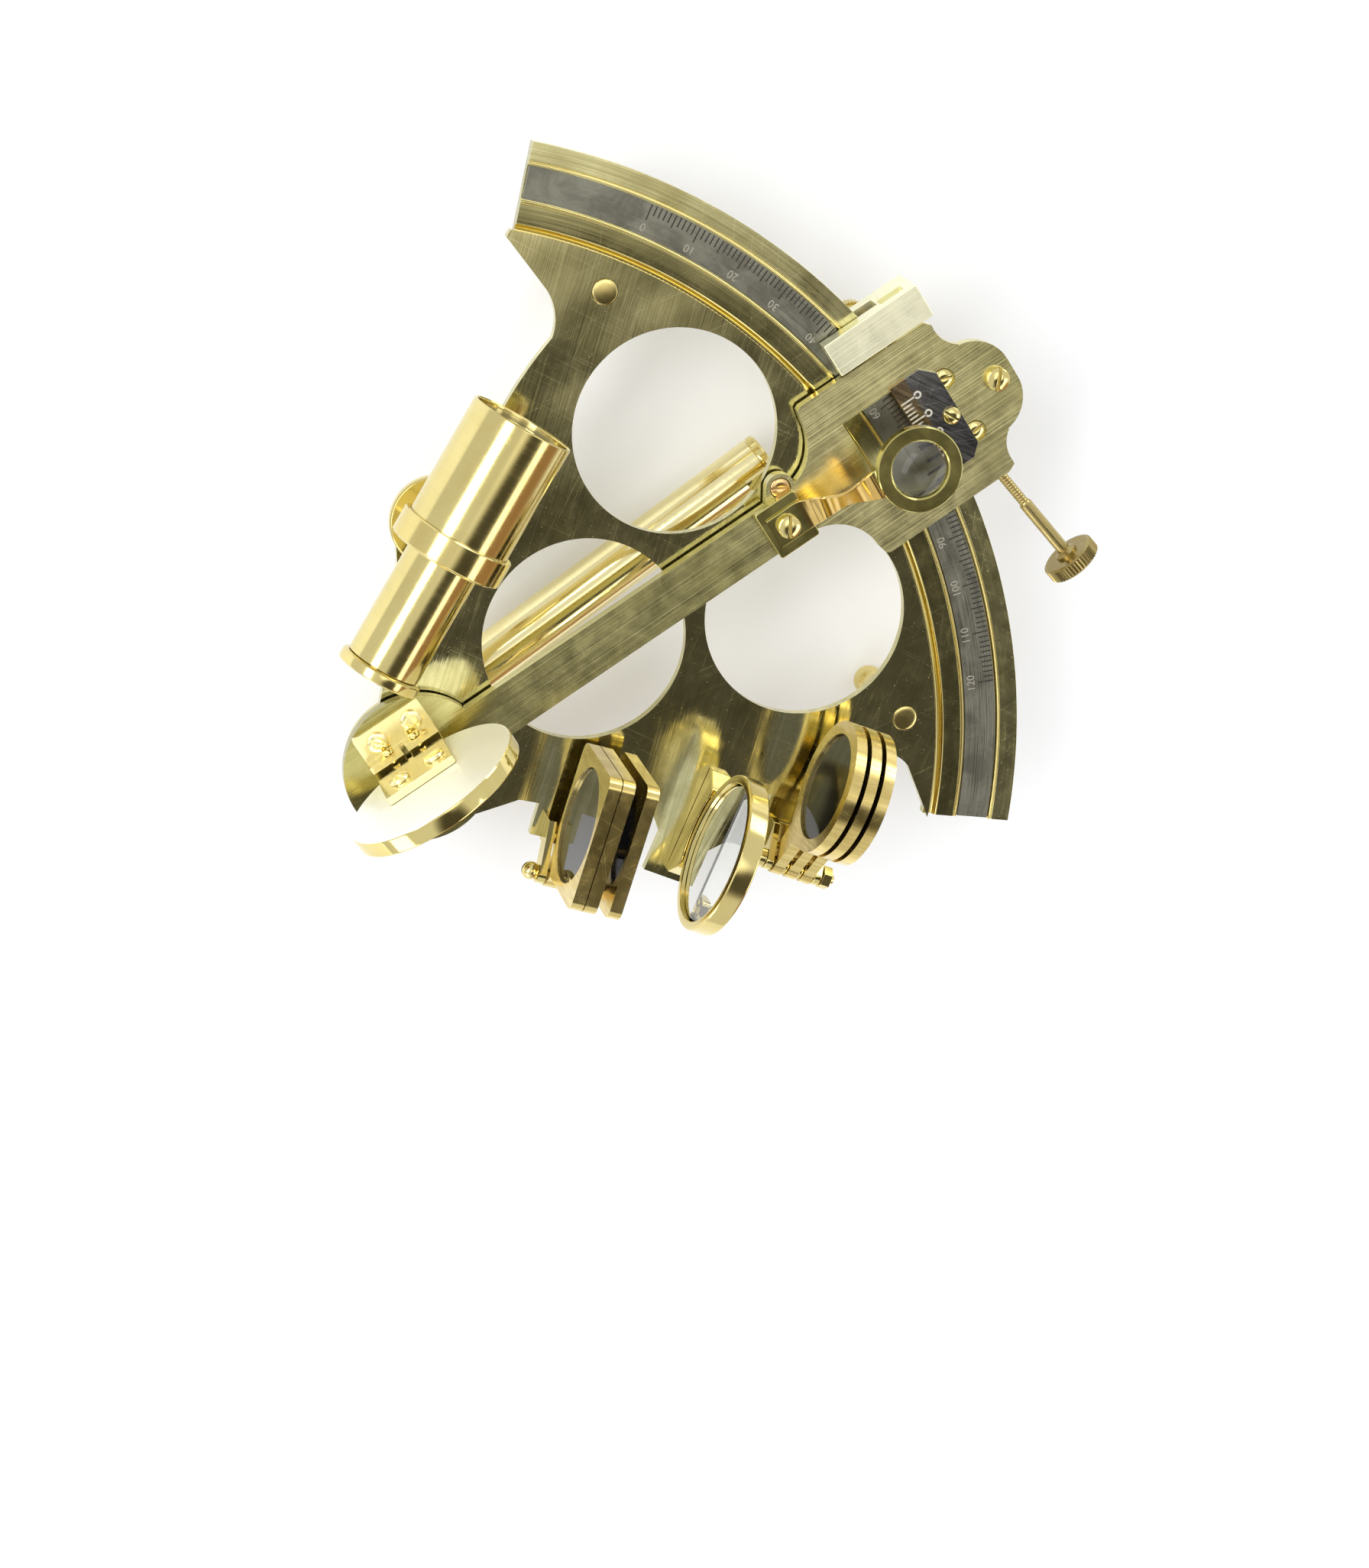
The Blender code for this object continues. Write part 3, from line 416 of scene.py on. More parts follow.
def brass(
    name, colour, deep, rough, brush=None, brush_turn=0.0, brush_depth=0.01, grain=None,
    hairs=(17.0, 68.0, 131.0), hair_depth=0.0006, tarnish=0.5, speckle=0.0, wave=0.0, groove=0.0,
    painted_light_bands=(), streaks=0.6, metal=1.0,
):
    """Brass with tarnish in soft patches, smudges, hairline scratches and, if asked for, a brushed grain and
    bands along Y of painted light and painted shade.
    """
    n = Nodes(name)
    cloud = n.cloud(0.045, 4.0, 0.55, 0.6)
    smudge = n.cloud(0.16, 5.0, 0.6, 0.3)
    patch = n.ranged(n.math("ADD", n.math("MULTIPLY", cloud, 0.7), n.math("MULTIPLY", smudge, 0.3)), 0.42,
                     0.66)
    tint = n.mix(n.math("MULTIPLY", patch, tarnish), colour, deep)
    roughness = n.ranged(smudge, 0.3, 0.75, rough[0], rough[1])
    normal = None
    if hairs:
        hair = scratches(n, hairs)
        tint = n.mix(n.math("MULTIPLY", hair, 0.22), tint, tuple(min(1.0, c * 1.25) for c in colour))
        roughness = n.math("ADD", roughness, n.math("MULTIPLY", hair, 0.06))
        normal = n.bump(n.math("MULTIPLY", hair, -1.0), hair_depth, 0.3)
    if brush is not None or grain is not None:
        if grain == "arc":
            vector = n.mapped((2.4, 0.03, 1.0), 0.0, n.around_pivot())
        elif grain in ("X", "Y", "Z"):
            vector = n.mapped((2.4, 0.3, 1.0), 0.0, n.along_axis(grain))
        else:
            vector = n.mapped(brush, brush_turn)
        fine = n.noise(vector, 2.0, 0.55)
        streak = n.noise(n.mapped((0.35, 0.5, 1.0), 0.0, vector), 2.0, 0.6)
        normal = n.bump(fine, brush_depth, 1.0, normal)
        spread = n.math("MULTIPLY", n.math("SUBTRACT", streak, 0.5), 0.30)
        roughness = n.math("ADD", roughness, n.math("MULTIPLY", spread, 0.5))
        tint = n.mix(n.ranged(streak, 0.38, 0.66, 0.0, streaks), tint, deep)
        if groove:
            coarse = n.noise(n.mapped((0.5, 0.8, 1.0), 0.0, vector), 1.0, 0.5)
            normal = n.bump(coarse, groove, 1.0, normal)
    for start, full, ebb, end, wear_and_painted_light in painted_light_bands:
        # a stretch along Y painted to another tone: painted light where the tone is lighter, painted shade
        # where it is darker
        along = n.parts()[1]
        rise = n.ranged(along, start * MM, full * MM, 0.0, 0.8)
        fall = n.ranged(along, ebb * MM, end * MM, 1.0, 0.0)
        tint = n.mix(n.math("MULTIPLY", rise, fall), tint, wear_and_painted_light)
    if wave:
        # polished sheet is never quite flat, so what it reflects bends
        normal = n.bump(n.cloud(0.035, 1.0, 0.4), wave, 1.0, normal)
    if speckle:
        spots = n.ranged(n.cloud(1.6, 2.0, 0.5), 0.70, 0.76)
        tint = n.mix(n.math("MULTIPLY", spots, speckle), tint, tuple(c * 0.4 for c in deep))
        roughness = n.math("ADD", roughness, n.math("MULTIPLY", spots, 0.25))
    return n.finish(tint, n.math("ADD", roughness, 0.0, 0.0, True), normal, Metallic=metal)


def glass(name, colour, rough, ior=1.5):
    n = Nodes(name)
    smear = n.cloud(0.25, 4.0, 0.6, 0.8)
    faint = n.mix(n.ranged(smear, 0.3, 0.9, 0.0, 0.35), colour, tuple(c * 0.85 for c in colour))
    roughness = n.ranged(smear, 0.5, 0.8, rough, rough + 0.004)
    return n.finish(faint, roughness, Transmission_Weight=1.0, IOR=ior)


def smoked(name, colour):
    """A dark neutral shade glass, which shows mostly what it reflects."""
    n = Nodes(name)
    dust = n.ranged(n.cloud(2.2, 2.0, 0.6), 0.68, 0.80)
    smear = n.cloud(0.2, 4.0, 0.6, 0.8)
    tint = n.mix(n.math("MULTIPLY", dust, 0.25), colour, (0.10, 0.10, 0.10))
    return n.finish(tint, n.ranged(smear, 0.35, 0.8, 0.02, 0.09), Transmission_Weight=0.75, IOR=1.52,
                    Specular_IOR_Level=0.6)


def silvering(name):
    n = Nodes(name)
    spots = n.ranged(n.cloud(0.9, 3.0, 0.6), 0.70, 0.80)
    smear = n.cloud(0.15, 4.0, 0.6, 0.5)
    tint = n.mix(n.math("MULTIPLY", spots, 0.5), (0.86, 0.87, 0.87), (0.45, 0.44, 0.42))
    return n.finish(tint, n.ranged(smear, 0.4, 0.8, 0.015, 0.06), Metallic=1.0)


def steel(name, light, dark, rough, grain, patch=(0.42, 0.62), bronzed=None):
    """Dark silvered steel with a fine grain, cloudy tarnish and hairlines."""
    n = Nodes(name)
    if grain == "arc":
        vector = n.mapped((2.8, 0.04, 1.0), 0.0, n.around_pivot())
    else:
        vector = n.mapped((2.8, 0.1, 1.0), 60)
    fine = n.noise(vector, 2.0, 0.6)
    cloud = n.ranged(n.cloud(0.09, 5.0, 0.6, 0.8), *patch)
    hair = scratches(n, (24.0, 77.0, 140.0), 3.0, 0.06)
    tint = n.mix(n.math("MULTIPLY", cloud, 0.8), light, dark)
    tint = n.mix(n.math("MULTIPLY", hair, 0.25), tint, tuple(min(1.0, c * 1.4) for c in light))
    if bronzed is not None:
        share = n.ranged(n.parts()[1], (bronzed - 0.4) * MM, (bronzed + 0.4) * MM, 0.75, 0.0)
        tint = n.mix(share, tint, (0.36, 0.25, 0.11))
    normal = n.bump(fine, 0.006, 1.0, n.bump(n.math("MULTIPLY", hair, -1.0), 0.006, 0.6))
    return n.finish(tint, n.ranged(fine, 0.3, 0.7, *rough), normal, Metallic=1.0)


def engraving(name, colour, rough):
    n = Nodes(name)
    wear_and_painted_light = n.cloud(1.2, 3.0, 0.6)
    tint = n.mix(n.ranged(wear_and_painted_light, 0.35, 0.75), colour, tuple(c * 0.6 for c in colour))
    return n.finish(tint, n.ranged(wear_and_painted_light, 0.3, 0.7, rough, rough + 0.15), Metallic=0.35)


def floor_material():
    n = Nodes("pale_floor")
    shade = n.cloud(0.004, 3.0, 0.5)
    tint = n.mix(n.ranged(shade, 0.3, 0.7), (0.93, 0.95, 0.98), (0.91, 0.93, 0.96))
    return n.finish(tint, None, Roughness=0.75, Specular_IOR_Level=0.15, Emission_Strength=0.04,
                    Emission_Color=(0.93, 0.96, 1.0, 1.0))


GOLD, DEEP_GOLD = (0.78, 0.66, 0.27), (0.58, 0.43, 0.12)
ROUND_THE_ARC = dict(grain="arc", brush_depth=0.008, hairs=(-50.0, 5.0, 60.0), tarnish=0.9, speckle=0.5,
                     wave=0.25, groove=0.012)
DOWN_THE_ARM = dict(brush=(2.2, 0.02, 1.0), brush_depth=0.018, hairs=(1.0, -2.0), hair_depth=0.001)
DRAWN_TUBE = dict(grain="Y", brush_depth=0.0003, hairs=(), streaks=0.10)
LOOKS = {
    "web": brass("web_brass", (0.82, 0.77, 0.43), (0.44, 0.40, 0.18), (0.06, 0.16), (2.0, 0.03, 1.0), -38.0,
                 0.008, hairs=(-38.0, -30.0, 12.0, 63.0), tarnish=0.9, speckle=0.35, wave=0.40, groove=0.012),
    "limb": brass("limb_brass", (0.88, 0.84, 0.48), (0.52, 0.47, 0.21), (0.10, 0.22), **ROUND_THE_ARC),
    "limb_inner": brass("limb_inner_brass", (0.52, 0.48, 0.24), (0.29, 0.26, 0.11), (0.10, 0.22),
                        **ROUND_THE_ARC),
    "line": brass("line_brass", GOLD, DEEP_GOLD, (0.10, 0.20), tarnish=0.3),
    # satin arm brass; its first band is painted light over the reading end, its second is painted shade over
    # the head at the pivot
    "satin": brass("satin_brass", (0.78, 0.73, 0.36), (0.54, 0.49, 0.20), (0.18, 0.30), **DOWN_THE_ARM,
                   tarnish=0.6, groove=0.025, painted_light_bands=((110.0, 150.0, 176.0, 205.0, (0.96, 0.88, 0.46)),
                                                     (-60.0, -50.0, 10.0, 36.0, (0.30, 0.27, 0.10)))),
    # the clamp block's near-white brass is painted light: a lit copy of the arm's satin brass
    "block": brass("painted_light_block_brass", (1.0, 0.99, 0.74), (0.92, 0.88, 0.58), (0.26, 0.38), **DOWN_THE_ARM,
                   tarnish=0.5, groove=0.02, streaks=0.4, metal=0.85),
    "bright": brass("bright_brass", GOLD, DEEP_GOLD, (0.05, 0.12), hairs=(), tarnish=0.35, wave=0.05),
    "tube": brass("tube_brass", (0.74, 0.63, 0.27), (0.54, 0.42, 0.14), (0.12, 0.18), tarnish=0.35,
                  **DRAWN_TUBE),
    "handle": brass("handle_brass", (0.92, 0.82, 0.45), (0.74, 0.61, 0.25), (0.11, 0.17), tarnish=0.4,
                    **DRAWN_TUBE),
    # painted highlight: near-white brass laid on the index mirror disc's back face
    "pale": brass("painted_highlight_brass", (1.0, 0.99, 0.86), (0.98, 0.95, 0.74), (0.30, 0.40), tarnish=0.4, metal=0.55),
    "lathe": brass("lathe_brass", (0.78, 0.66, 0.28), DEEP_GOLD, (0.10, 0.18), grain="Z", brush_depth=0.0006,
                   hairs=(), tarnish=0.35, streaks=0.2),
    "dull": brass("dull_brass", (0.46, 0.37, 0.15), (0.30, 0.22, 0.08), (0.22, 0.32), grain="X",
                  brush_depth=0.0006, hairs=(), tarnish=0.5, streaks=0.2),
    "ring": brass("ring_brass", (0.76, 0.64, 0.27), DEEP_GOLD, (0.10, 0.18), hairs=(), tarnish=0.4,
                  wave=0.05),
    "lens_ring": brass("lens_ring_brass", (0.60, 0.54, 0.20), (0.42, 0.36, 0.11), (0.12, 0.22), hairs=(),
                       tarnish=0.4),
    # the twisted stretch of the magnifier strip: its own brass with a painted warm reflection in orange
    "warm_reflection_strip": brass("warm_reflection_strip_brass", (0.90, 0.66, 0.24), (0.62, 0.34, 0.06), (0.06, 0.14), hairs=(),
                          tarnish=0.5, wave=0.1),
    "plate": brass("plate_brass", (0.92, 0.82, 0.46), (0.80, 0.65, 0.28), (0.12, 0.20), tarnish=0.4),
    "shade": brass("shade_brass", (0.86, 0.70, 0.29), (0.60, 0.44, 0.13), (0.14, 0.28), (3.0, 0.10, 0.12),
                   0.0, 0.003, tarnish=0.7, wave=0.06),
    "copper": brass("copper_screw", (0.80, 0.54, 0.24), (0.60, 0.36, 0.14), (0.16, 0.28), tarnish=0.4),
    "under": brass("under_brass", (0.62, 0.52, 0.26), (0.40, 0.33, 0.14), (0.22, 0.38), tarnish=0.8,
                   speckle=0.4),
    "strip": steel("silvered_strip", (0.30, 0.295, 0.235), (0.165, 0.16, 0.125), (0.24, 0.40), "arc"),
    "vernier": steel("vernier_steel", (0.30, 0.30, 0.30), (0.13, 0.13, 0.14), (0.10, 0.26), "plain",
                     bronzed=177.6),
    "engraving": engraving("engraved_lines", (0.035, 0.032, 0.025), 0.55),
    "figures": engraving("engraved_figures", (0.42, 0.40, 0.32), 0.5),
    "vernier_line": engraving("vernier_lines", (0.72, 0.68, 0.58), 0.45),
    "mirror": silvering("mirror_silvering"),
    "smoked": smoked("smoked_glass", (0.012, 0.012, 0.014)),
    "clear": glass("clear_glass", (0.96, 0.98, 0.97), 0.0),
    "lens": glass("lens_glass", (0.98, 0.99, 0.97), 0.0, 1.45),
}


# ---------------------------------------------------------------- pieces


def mesh_object(name, bm, at):
    bmesh.ops.scale(bm, verts=bm.verts, vec=(MM, MM, MM))
    mesh = bpy.data.meshes.new(name)
    bm.to_mesh(mesh)
    bm.free()
    made = bpy.data.objects.new(name, mesh)
    made.matrix_world = at
    bpy.context.scene.collection.objects.link(made)
    return made


def piece(name, bm, look, body, at, nodes=(), join=(), cut=(), bevel=0.25, steps=2, sharp=35, angle=28):
    """One finished piece: its Booleans and bevels applied, its material, and the body it rides on."""
    made = mesh_object(name, bm, at)
    tools = []
    for operation, shapes in (("UNION", join), ("DIFFERENCE", cut)):
        for i, shape in enumerate(shapes):
            tool = mesh_object(f"{name}_tool", shape, at)
            tools.append(tool)
            boolean = made.modifiers.new(f"{operation.lower()}_{i}", "BOOLEAN")
            boolean.operation = operation
            boolean.solver = "EXACT"
            boolean.object = tool
    made.data.shade_smooth()
    if bevel:
        edge = made.modifiers.new("bevel", "BEVEL")
        edge.width = bevel * MM
        edge.segments = steps
        edge.limit_method = "ANGLE"
        edge.angle_limit = radians(angle)
        edge.miter_outer = "MITER_ARC"
        edge.harden_normals = False
    bpy.context.view_layer.update()
    graph = bpy.context.evaluated_depsgraph_get()
    mesh = bpy.data.meshes.new_from_object(made.evaluated_get(graph))
    mesh.name = name
    made.modifiers.clear()
    made.data = mesh
    for tool in tools:
        bpy.data.objects.remove(tool, do_unlink=True)
    mesh.materials.clear()
    mesh.materials.append(LOOKS[look])
    mesh.shade_smooth()
    mesh.set_sharp_from_angle(angle=radians(sharp))
    weighted = made.modifiers.new("weighted_normals", "WEIGHTED_NORMAL")
    weighted.keep_sharp = True
    weighted.weight = 60
    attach(made, body)
    if nodes:
        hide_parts(*nodes)
    return made


def lay(made, look, wanted):
    """Gives the faces that wanted(centre, normal) picks another material. centre is in millimetres."""
    index = len(made.data.materials)
    made.data.materials.append(LOOKS[look])
    for face in made.data.polygons:
        if wanted(face.center / MM, face.normal):
            face.material_index = index


def screw(name, at, body, seat, radius, height, shank, depth, axis=(0, 0, 1), look="lathe", slot=20.0,
          dome=0.0):
    """A slotted screw with a chamfered rim, a slot with a floor, and turning marks about its own axis."""
    aim = Vector((0, 0, 1)).rotation_difference(Vector(axis)).to_matrix().to_4x4()
    where = at @ Matrix.Translation(Vector(seat) * MM) @ aim
    rim = 0.16 * radius
    profile = [(0, -depth), (shank, -depth), (shank, 0), (radius - 0.1, 0), (radius, 0.1),
               (radius, height - rim)]
    profile += [(radius - rim * 0.3, height - rim * 0.3), (radius - rim, height)]
    profile += [(radius * 0.5, height + dome * 0.75), (0, height + dome)]
    cutter = block(-2 * radius, 2 * radius, -0.13 * radius, 0.13 * radius, 0.5 * height, 3 * height + 2)
    piece(name, turned(profile, 48), look, body, where, [name], cut=[turned_to(cutter, "Z", slot)],
          bevel=0.06)


def in_plane(angle, along, across):
    """A point along and across a line from the pivot, at an angle from +X."""
    a = radians(angle)
    return (along * cos(a) + across * sin(a), along * sin(a) - across * cos(a))


def web_outline():
    shade_tab = [in_plane(INDEX_SHADE_LINE, a, b) for a,
                 b in ((40.4, -0.6), (40.4, 8.8), (64.6, 8.8), (64.6, -3.0))]
    mirror_tab = [in_plane(MIRROR_LINE, a, b) for a,
                  b in ((76.9, -8.5), (76.9, 3.0), (92.0, 3.0), (92.0, -14.0))]
    far_tab = [in_plane(HORIZON_SHADE_LINE, a, b) for a,
               b in ((104.0, -28.0), (104.0, -13.0), (123.0, -13.0), (123.0, -34.0))]
    points = [polar(LIMB_INNER + 1.5, 43.4 - 86.8 * i / 160) for i in range(161)]
    points += [(-106.0, 110.9)] + arc((-88.0, 96.5), 15.0, 90.0, 35.0, 20)
    points += blend_arc((-75.7, 105.1), (-58.0, 66.0), -2.0, 24) + [(-58.0, 66.0)]
    points += arc(TELESCOPE_AT, 11.6, 140.0, 250.0, 30)
    points += blend_arc((-57.9, 38.7), (-29.5, 16.0), 1.5, 16) + [(-29.5, 16.0)]
    points += arc((0, 4.5), 20.3, 175.0, 350.0, 64)
    points += [(27.2, 21.3)] + shade_tab
    points += blend_arc(shade_tab[-1], (56.0, 49.0), 2.0, 14) + [(56.0, 49.0)] + mirror_tab
    points += blend_arc(mirror_tab[-1], far_tab[0], 2.0, 14) + far_tab
    points += blend_arc(far_tab[-1], (80.0, 110.0), 3.0, 14)
    points += arc((90.0, 106.5), 10.5, 160.0, 90.0, 20) + [(102.0, 114.2)]
    return points


def make_frame():
    top, deep = FRONT, FRONT - 1.4
    limb = [
        (LIMB_INNER, FRONT - LIMB_THICK), (LIMB_OUTER, FRONT - LIMB_THICK), (LIMB_OUTER, top - 0.05),
        (LIMB_OUTER - 0.05, top), (174.85, top), (174.7, top - 0.18), (174.5, top - 0.18),
        (174.42, top + 0.02),
        (174.25, top + 0.16), (174.0, top + 0.18), (173.86, top + 0.08), (173.8, top - 0.15), (173.8, deep),
        (163.9, deep), (163.9, top - 0.15), (163.84, top + 0.08), (163.7, top + 0.18), (163.45, top + 0.16),
        (163.28, top + 0.02), (163.2, top - 0.18), (163.0, top - 0.18), (162.85, top), (157.9, top),
        (157.5, top - 0.12),
        (157.15, top - 0.5), (156.85, top - 1.0), (156.4, top - 1.35), (155.9, top - 1.45),
        (155.0, top - 1.45),
        (LIMB_INNER, top - 0.9),
    ]
    cuts = []
    for x, y in (polar(63.2, 0.0), polar(122.5, 15.8), polar(122.5, -15.8)):
        cuts.append(moved(rod(HOLE_RADIUS, 30, 60, 160), x, y))
    studs = [(*polar(STUD_RADIUS, side * STUD_ANGLE), 3.75) for side in (1, -1)]
    for x, y, radius in (*studs, (0, 0, 6.0), (*TELESCOPE_AT, 3.6)):
        cuts.append(moved(rod(radius, 30, 60, 48), x, y))
    made = piece("frame_plate", prism(web_outline(), WEB_TOP - WEB_THICK, WEB_TOP), "web", "frame", ROOT,
                 ["frame_casting"], [swept_sector(limb, LIMB_HALF_ANGLE, 172)], cuts, bevel=0.3, angle=40)
    lay(made, "limb", lambda c, n: c.xy.length > 168.0 and c.z > 40.2)
    lay(made, "limb_inner", lambda c, n: 157.4 < c.xy.length <= 168.0 and c.z > 40.2)
    lay(made, "line", lambda c, n: 173.7 < c.xy.length < 174.75 or 163.0 < c.xy.length < 163.95
        or (155.4 < c.xy.length < 157.8 and c.z > 42.3))
    lay(made, "under", lambda c, n: n.z < -0.5)
    strip = [(STRIP_INNER, deep + 0.3), (STRIP_OUTER, deep + 0.3), (STRIP_OUTER, STRIP_TOP),
             (STRIP_INNER, STRIP_TOP)]
    piece("scale_strip_plate", swept_sector(strip, LIMB_HALF_ANGLE - 0.1, 172), "strip", "frame", ROOT,
          ["scale_strip"], bevel=0.08)


def digits(text, size):
    """Figures as a flat mesh, centred on the origin."""
    curve = bpy.data.curves.new("figures", "FONT")
    curve.body = text
    curve.size = size
    curve.align_x, curve.align_y = "CENTER", "CENTER"
    curve.extrude = 0.012
    curve.resolution_u = 3
    holder = bpy.data.objects.new("figures", curve)
    bpy.context.scene.collection.objects.link(holder)
    bpy.context.view_layer.update()
    mesh = bpy.data.meshes.new_from_object(holder.evaluated_get(bpy.context.evaluated_depsgraph_get()))
    bm = bmesh.new()
    bm.from_mesh(mesh)
    bpy.data.objects.remove(holder, do_unlink=True)
    bpy.data.meshes.remove(mesh)
    return bm


def make_divisions():
    """The scale's lines and figures, whose tops point to the pivot."""
    shapes, figures = [], []
    outer = STRIP_OUTER - 0.15
    for unit in range(121):
        angle = -31.0 + 0.5 * unit
        long = 4.6 if unit % 10 == 0 else 3.7 if unit % 5 == 0 else 2.9
        line = block(-0.19, 0.19, outer - long, outer, STRIP_TOP + LINE_LOW, STRIP_TOP + LINE_HIGH)
        shapes.append(turned_to(line, "Z", -angle))
        if unit % 10 == 0:
            figure = turned_to(digits(str(unit), 3.3), "Z", 180)
            moved(figure, 0, STRIP_INNER + 2.3, STRIP_TOP + 0.016)
            figures.append(turned_to(figure, "Z", -angle))
    piece("scale_divisions", merged(*shapes), "engraving", "frame", ROOT, bevel=0)
    piece("scale_figures", merged(*figures), "figures", "frame", ROOT, bevel=0)


def make_legs():
    under = WEB_TOP - WEB_THICK - GAP
    for name, side in (("left_leg", -1), ("right_leg", 1)):
        foot = arc((0, 3.6), 4.5, -61.0, 48.0, 18)
        leg = [(0, 0)] + [(r, max(0.0, z)) for r, z in foot]
        leg += [(2.75, 7.6), (2.75, 8.2), (3.3, 9.0), (3.6, 9.6), (3.6, under - 4.4), (4.2, under - 4.0),
                (4.2, under - 3.2),
                (5.2, under - 2.6), (5.2, under), (3.4, under), (3.4, WEB_TOP - 0.25), (3.55, WEB_TOP + 0.05),
                (3.4, WEB_TOP + 0.16), (2.4, WEB_TOP + 0.24), (0, WEB_TOP + 0.27)]
        x, y = polar(STUD_RADIUS, STUD_ANGLE * side)
        piece(f"{name}_post", turned(leg, 64), "lathe", "frame", place(x, y, 0), [name], bevel=0.08)
    foot = arc((0, 3.6), 5.0, -64.0, 50.0, 18)
    cup = [(0, 0)] + [(r, max(0.0, z)) for r, z in foot]
    cup += [(3.2, 8.0), (3.2, 17.4), (3.9, 18.0), (3.9, 19.0), (5.0, 20.5), (7.6, 21.3), (9.0, 22.4),
            (9.0, under - 8), (9.6, under - 7.6), (9.6, under - 6.6), (9.0, under - 6.2), (9.0, under - 3.4),
            (13.0, under - 2.2), (13.0, under), (5.2, under), (5.2, 26.0), (0, 26.0)]
    piece("pivot_bearing", turned(cup, 72), "lathe", "frame", ROOT, ["pivot_leg"], bevel=0.12)
    shaft = [(0, 27.0), (4.6, 27.0), (5.0, 27.6), (5.0, FRONT + 0.7), (0, FRONT + 0.7)]
    piece("pivot_shaft_turned", turned(shaft, 48), "lathe", "index_arm", ROOT, ["pivot_shaft"], bevel=0)


def make_handle():
    x, z, radius, bore, y0, y1 = -2.0, FRONT - 30.0, 7.6, 6.8, 20.0, 134.0
    axis = place(x, 0, z)
    tube = [(bore, y0), (radius - 0.15, y0), (radius, y0 + 0.15), (radius, y1 - 0.15), (radius - 0.15, y1),
            (bore, y1)]
    piece("handle_grip", turned_y(tube, 96), "handle", "frame", axis, ["handle_tube"], bevel=0)
    under = WEB_TOP - WEB_THICK - GAP - z
    for name, end, out in (("handle_upper_bracket", y1, 1), ("handle_lower_bracket", y0, -1)):
        plug = [(0, end - out * 8), (bore - GAP, end - out * 8), (bore - GAP, end + out * GAP),
                (radius, end + out * GAP),
                (radius, end + out * 2.1), (radius - 0.7, end + out * 2.8), (4.4, end + out * 2.8),
                (4.2, end + out * 2.5), (0, end + out * 2.5)]
        near, far = sorted((end + out * 0.6, end + out * 2.6))
        stem = [(-3.4, -2), (3.4, -2), (3.4, under - 2.2), (-3.4, under - 2.2)]
        inner, outer = sorted((end + out * 2.6, end - out * 8.0))
        piece(f"{name}_post", turned_y(plug, 72), "bright", "frame", axis, [name],
              [standing(stem, near, far), block(-5.5, 5.5, inner, outer, under - 2.4, under)], bevel=0.3)


# ---------------------------------------------------------------- the index arm


def arm_outline():
    half, wide, shoulder, head = 7.0, 25.4, 15.0, 21.3
    meets = degrees(asin(half / head))
    right = [(half, 132.0)] + arc((half + shoulder, 132.0), shoulder, 180.0, 92.0, 24) + [(wide - 0.6, 147.8)]
    right += [(wide, 149.0), (wide, 189.5), (wide - 1.2, 192.0)]
    right += arc((22.0, 201.0), 9.0, 280.0, 215.0, 20)[1:] + arc((3.0, 194.0), 11.5, 8.0, 90.0, 24)
    left = [(-3.0, 205.5)] + arc((-3.0, 194.0), 11.5, 98.0, 172.0, 22) + arc((-22.0, 201.0), 9.0, 325.0,
                                                                             260.0, 20)
    left += [(-wide, 190.5), (-wide, 149.0), (-wide + 0.6, 147.8)]
    left += arc((-half - shoulder, 132.0), shoulder, 88.0, 30.0, 18)
    left += arc((-8.8, 132.2), 4.2, 75.0, 240.0, 24) + [(-half, 126.0)]
    return arc((0, 4.5), head, 90.0 + meets, 450.0 - meets, 96) + right + left


def tangent_bore():
    return moved(turned_to(along_x(rod(1.9, -66, 20, 40)), "Z", TANGENT_TILT), *TANGENT_AT)


def make_arm():
    cuts = [prism([(-14.2, 156.5), (14.2, 156.5), (14.2, 182.5), (-14.2, 182.5)], 0, 10)]
    for x, y, radius in ((0, 200.0, 1.6), (-8.8, 132.2, 3.05), (1.2, 183.6, 1.4)):
        cuts.append(moved(rod(radius, -9, 20), x, y))
    for x in (-8.5, 9.5):
        cuts.append(moved(rod(3.1, ARM_TOP - 1.6, 20, 48), x, 187.4))
    lug = prism(rounded([(14.0, 182.6), (23.6, 182.6), (23.6, 192.4), (14.0, 192.4)], 1.0, 4), -6.4,
                ARM_LOW + 1.0)
    piece("index_arm_plate", prism(arm_outline(), ARM_LOW, ARM_TOP), "satin", "index_arm", ARM, ["index_arm"],
          [lug], [*cuts, tangent_bore()], bevel=0.32, steps=3, angle=40)
    screw("arm_tip_screw", ARM, "index_arm", (0, 200.0, ARM_TOP + 0.1), 3.4, 2.4, 1.3, 3.4, slot=-40,
          dome=0.5)
    screw("arm_lug_screw", ARM, "index_arm", (-8.8, 132.2, ARM_TOP - 0.9), 2.9, 0.9, 1.4, 2.6, look="copper",
          slot=60)
    for name, x, slot in (("vernier_adjuster_left", -8.5, 70), ("vernier_adjuster_right", 9.5, 95)):
        screw(name, ARM, "index_arm", (x, 187.4, ARM_TOP - 1.5), 2.75, 1.1, 1.2, 0.1, slot=slot, dome=0.25)


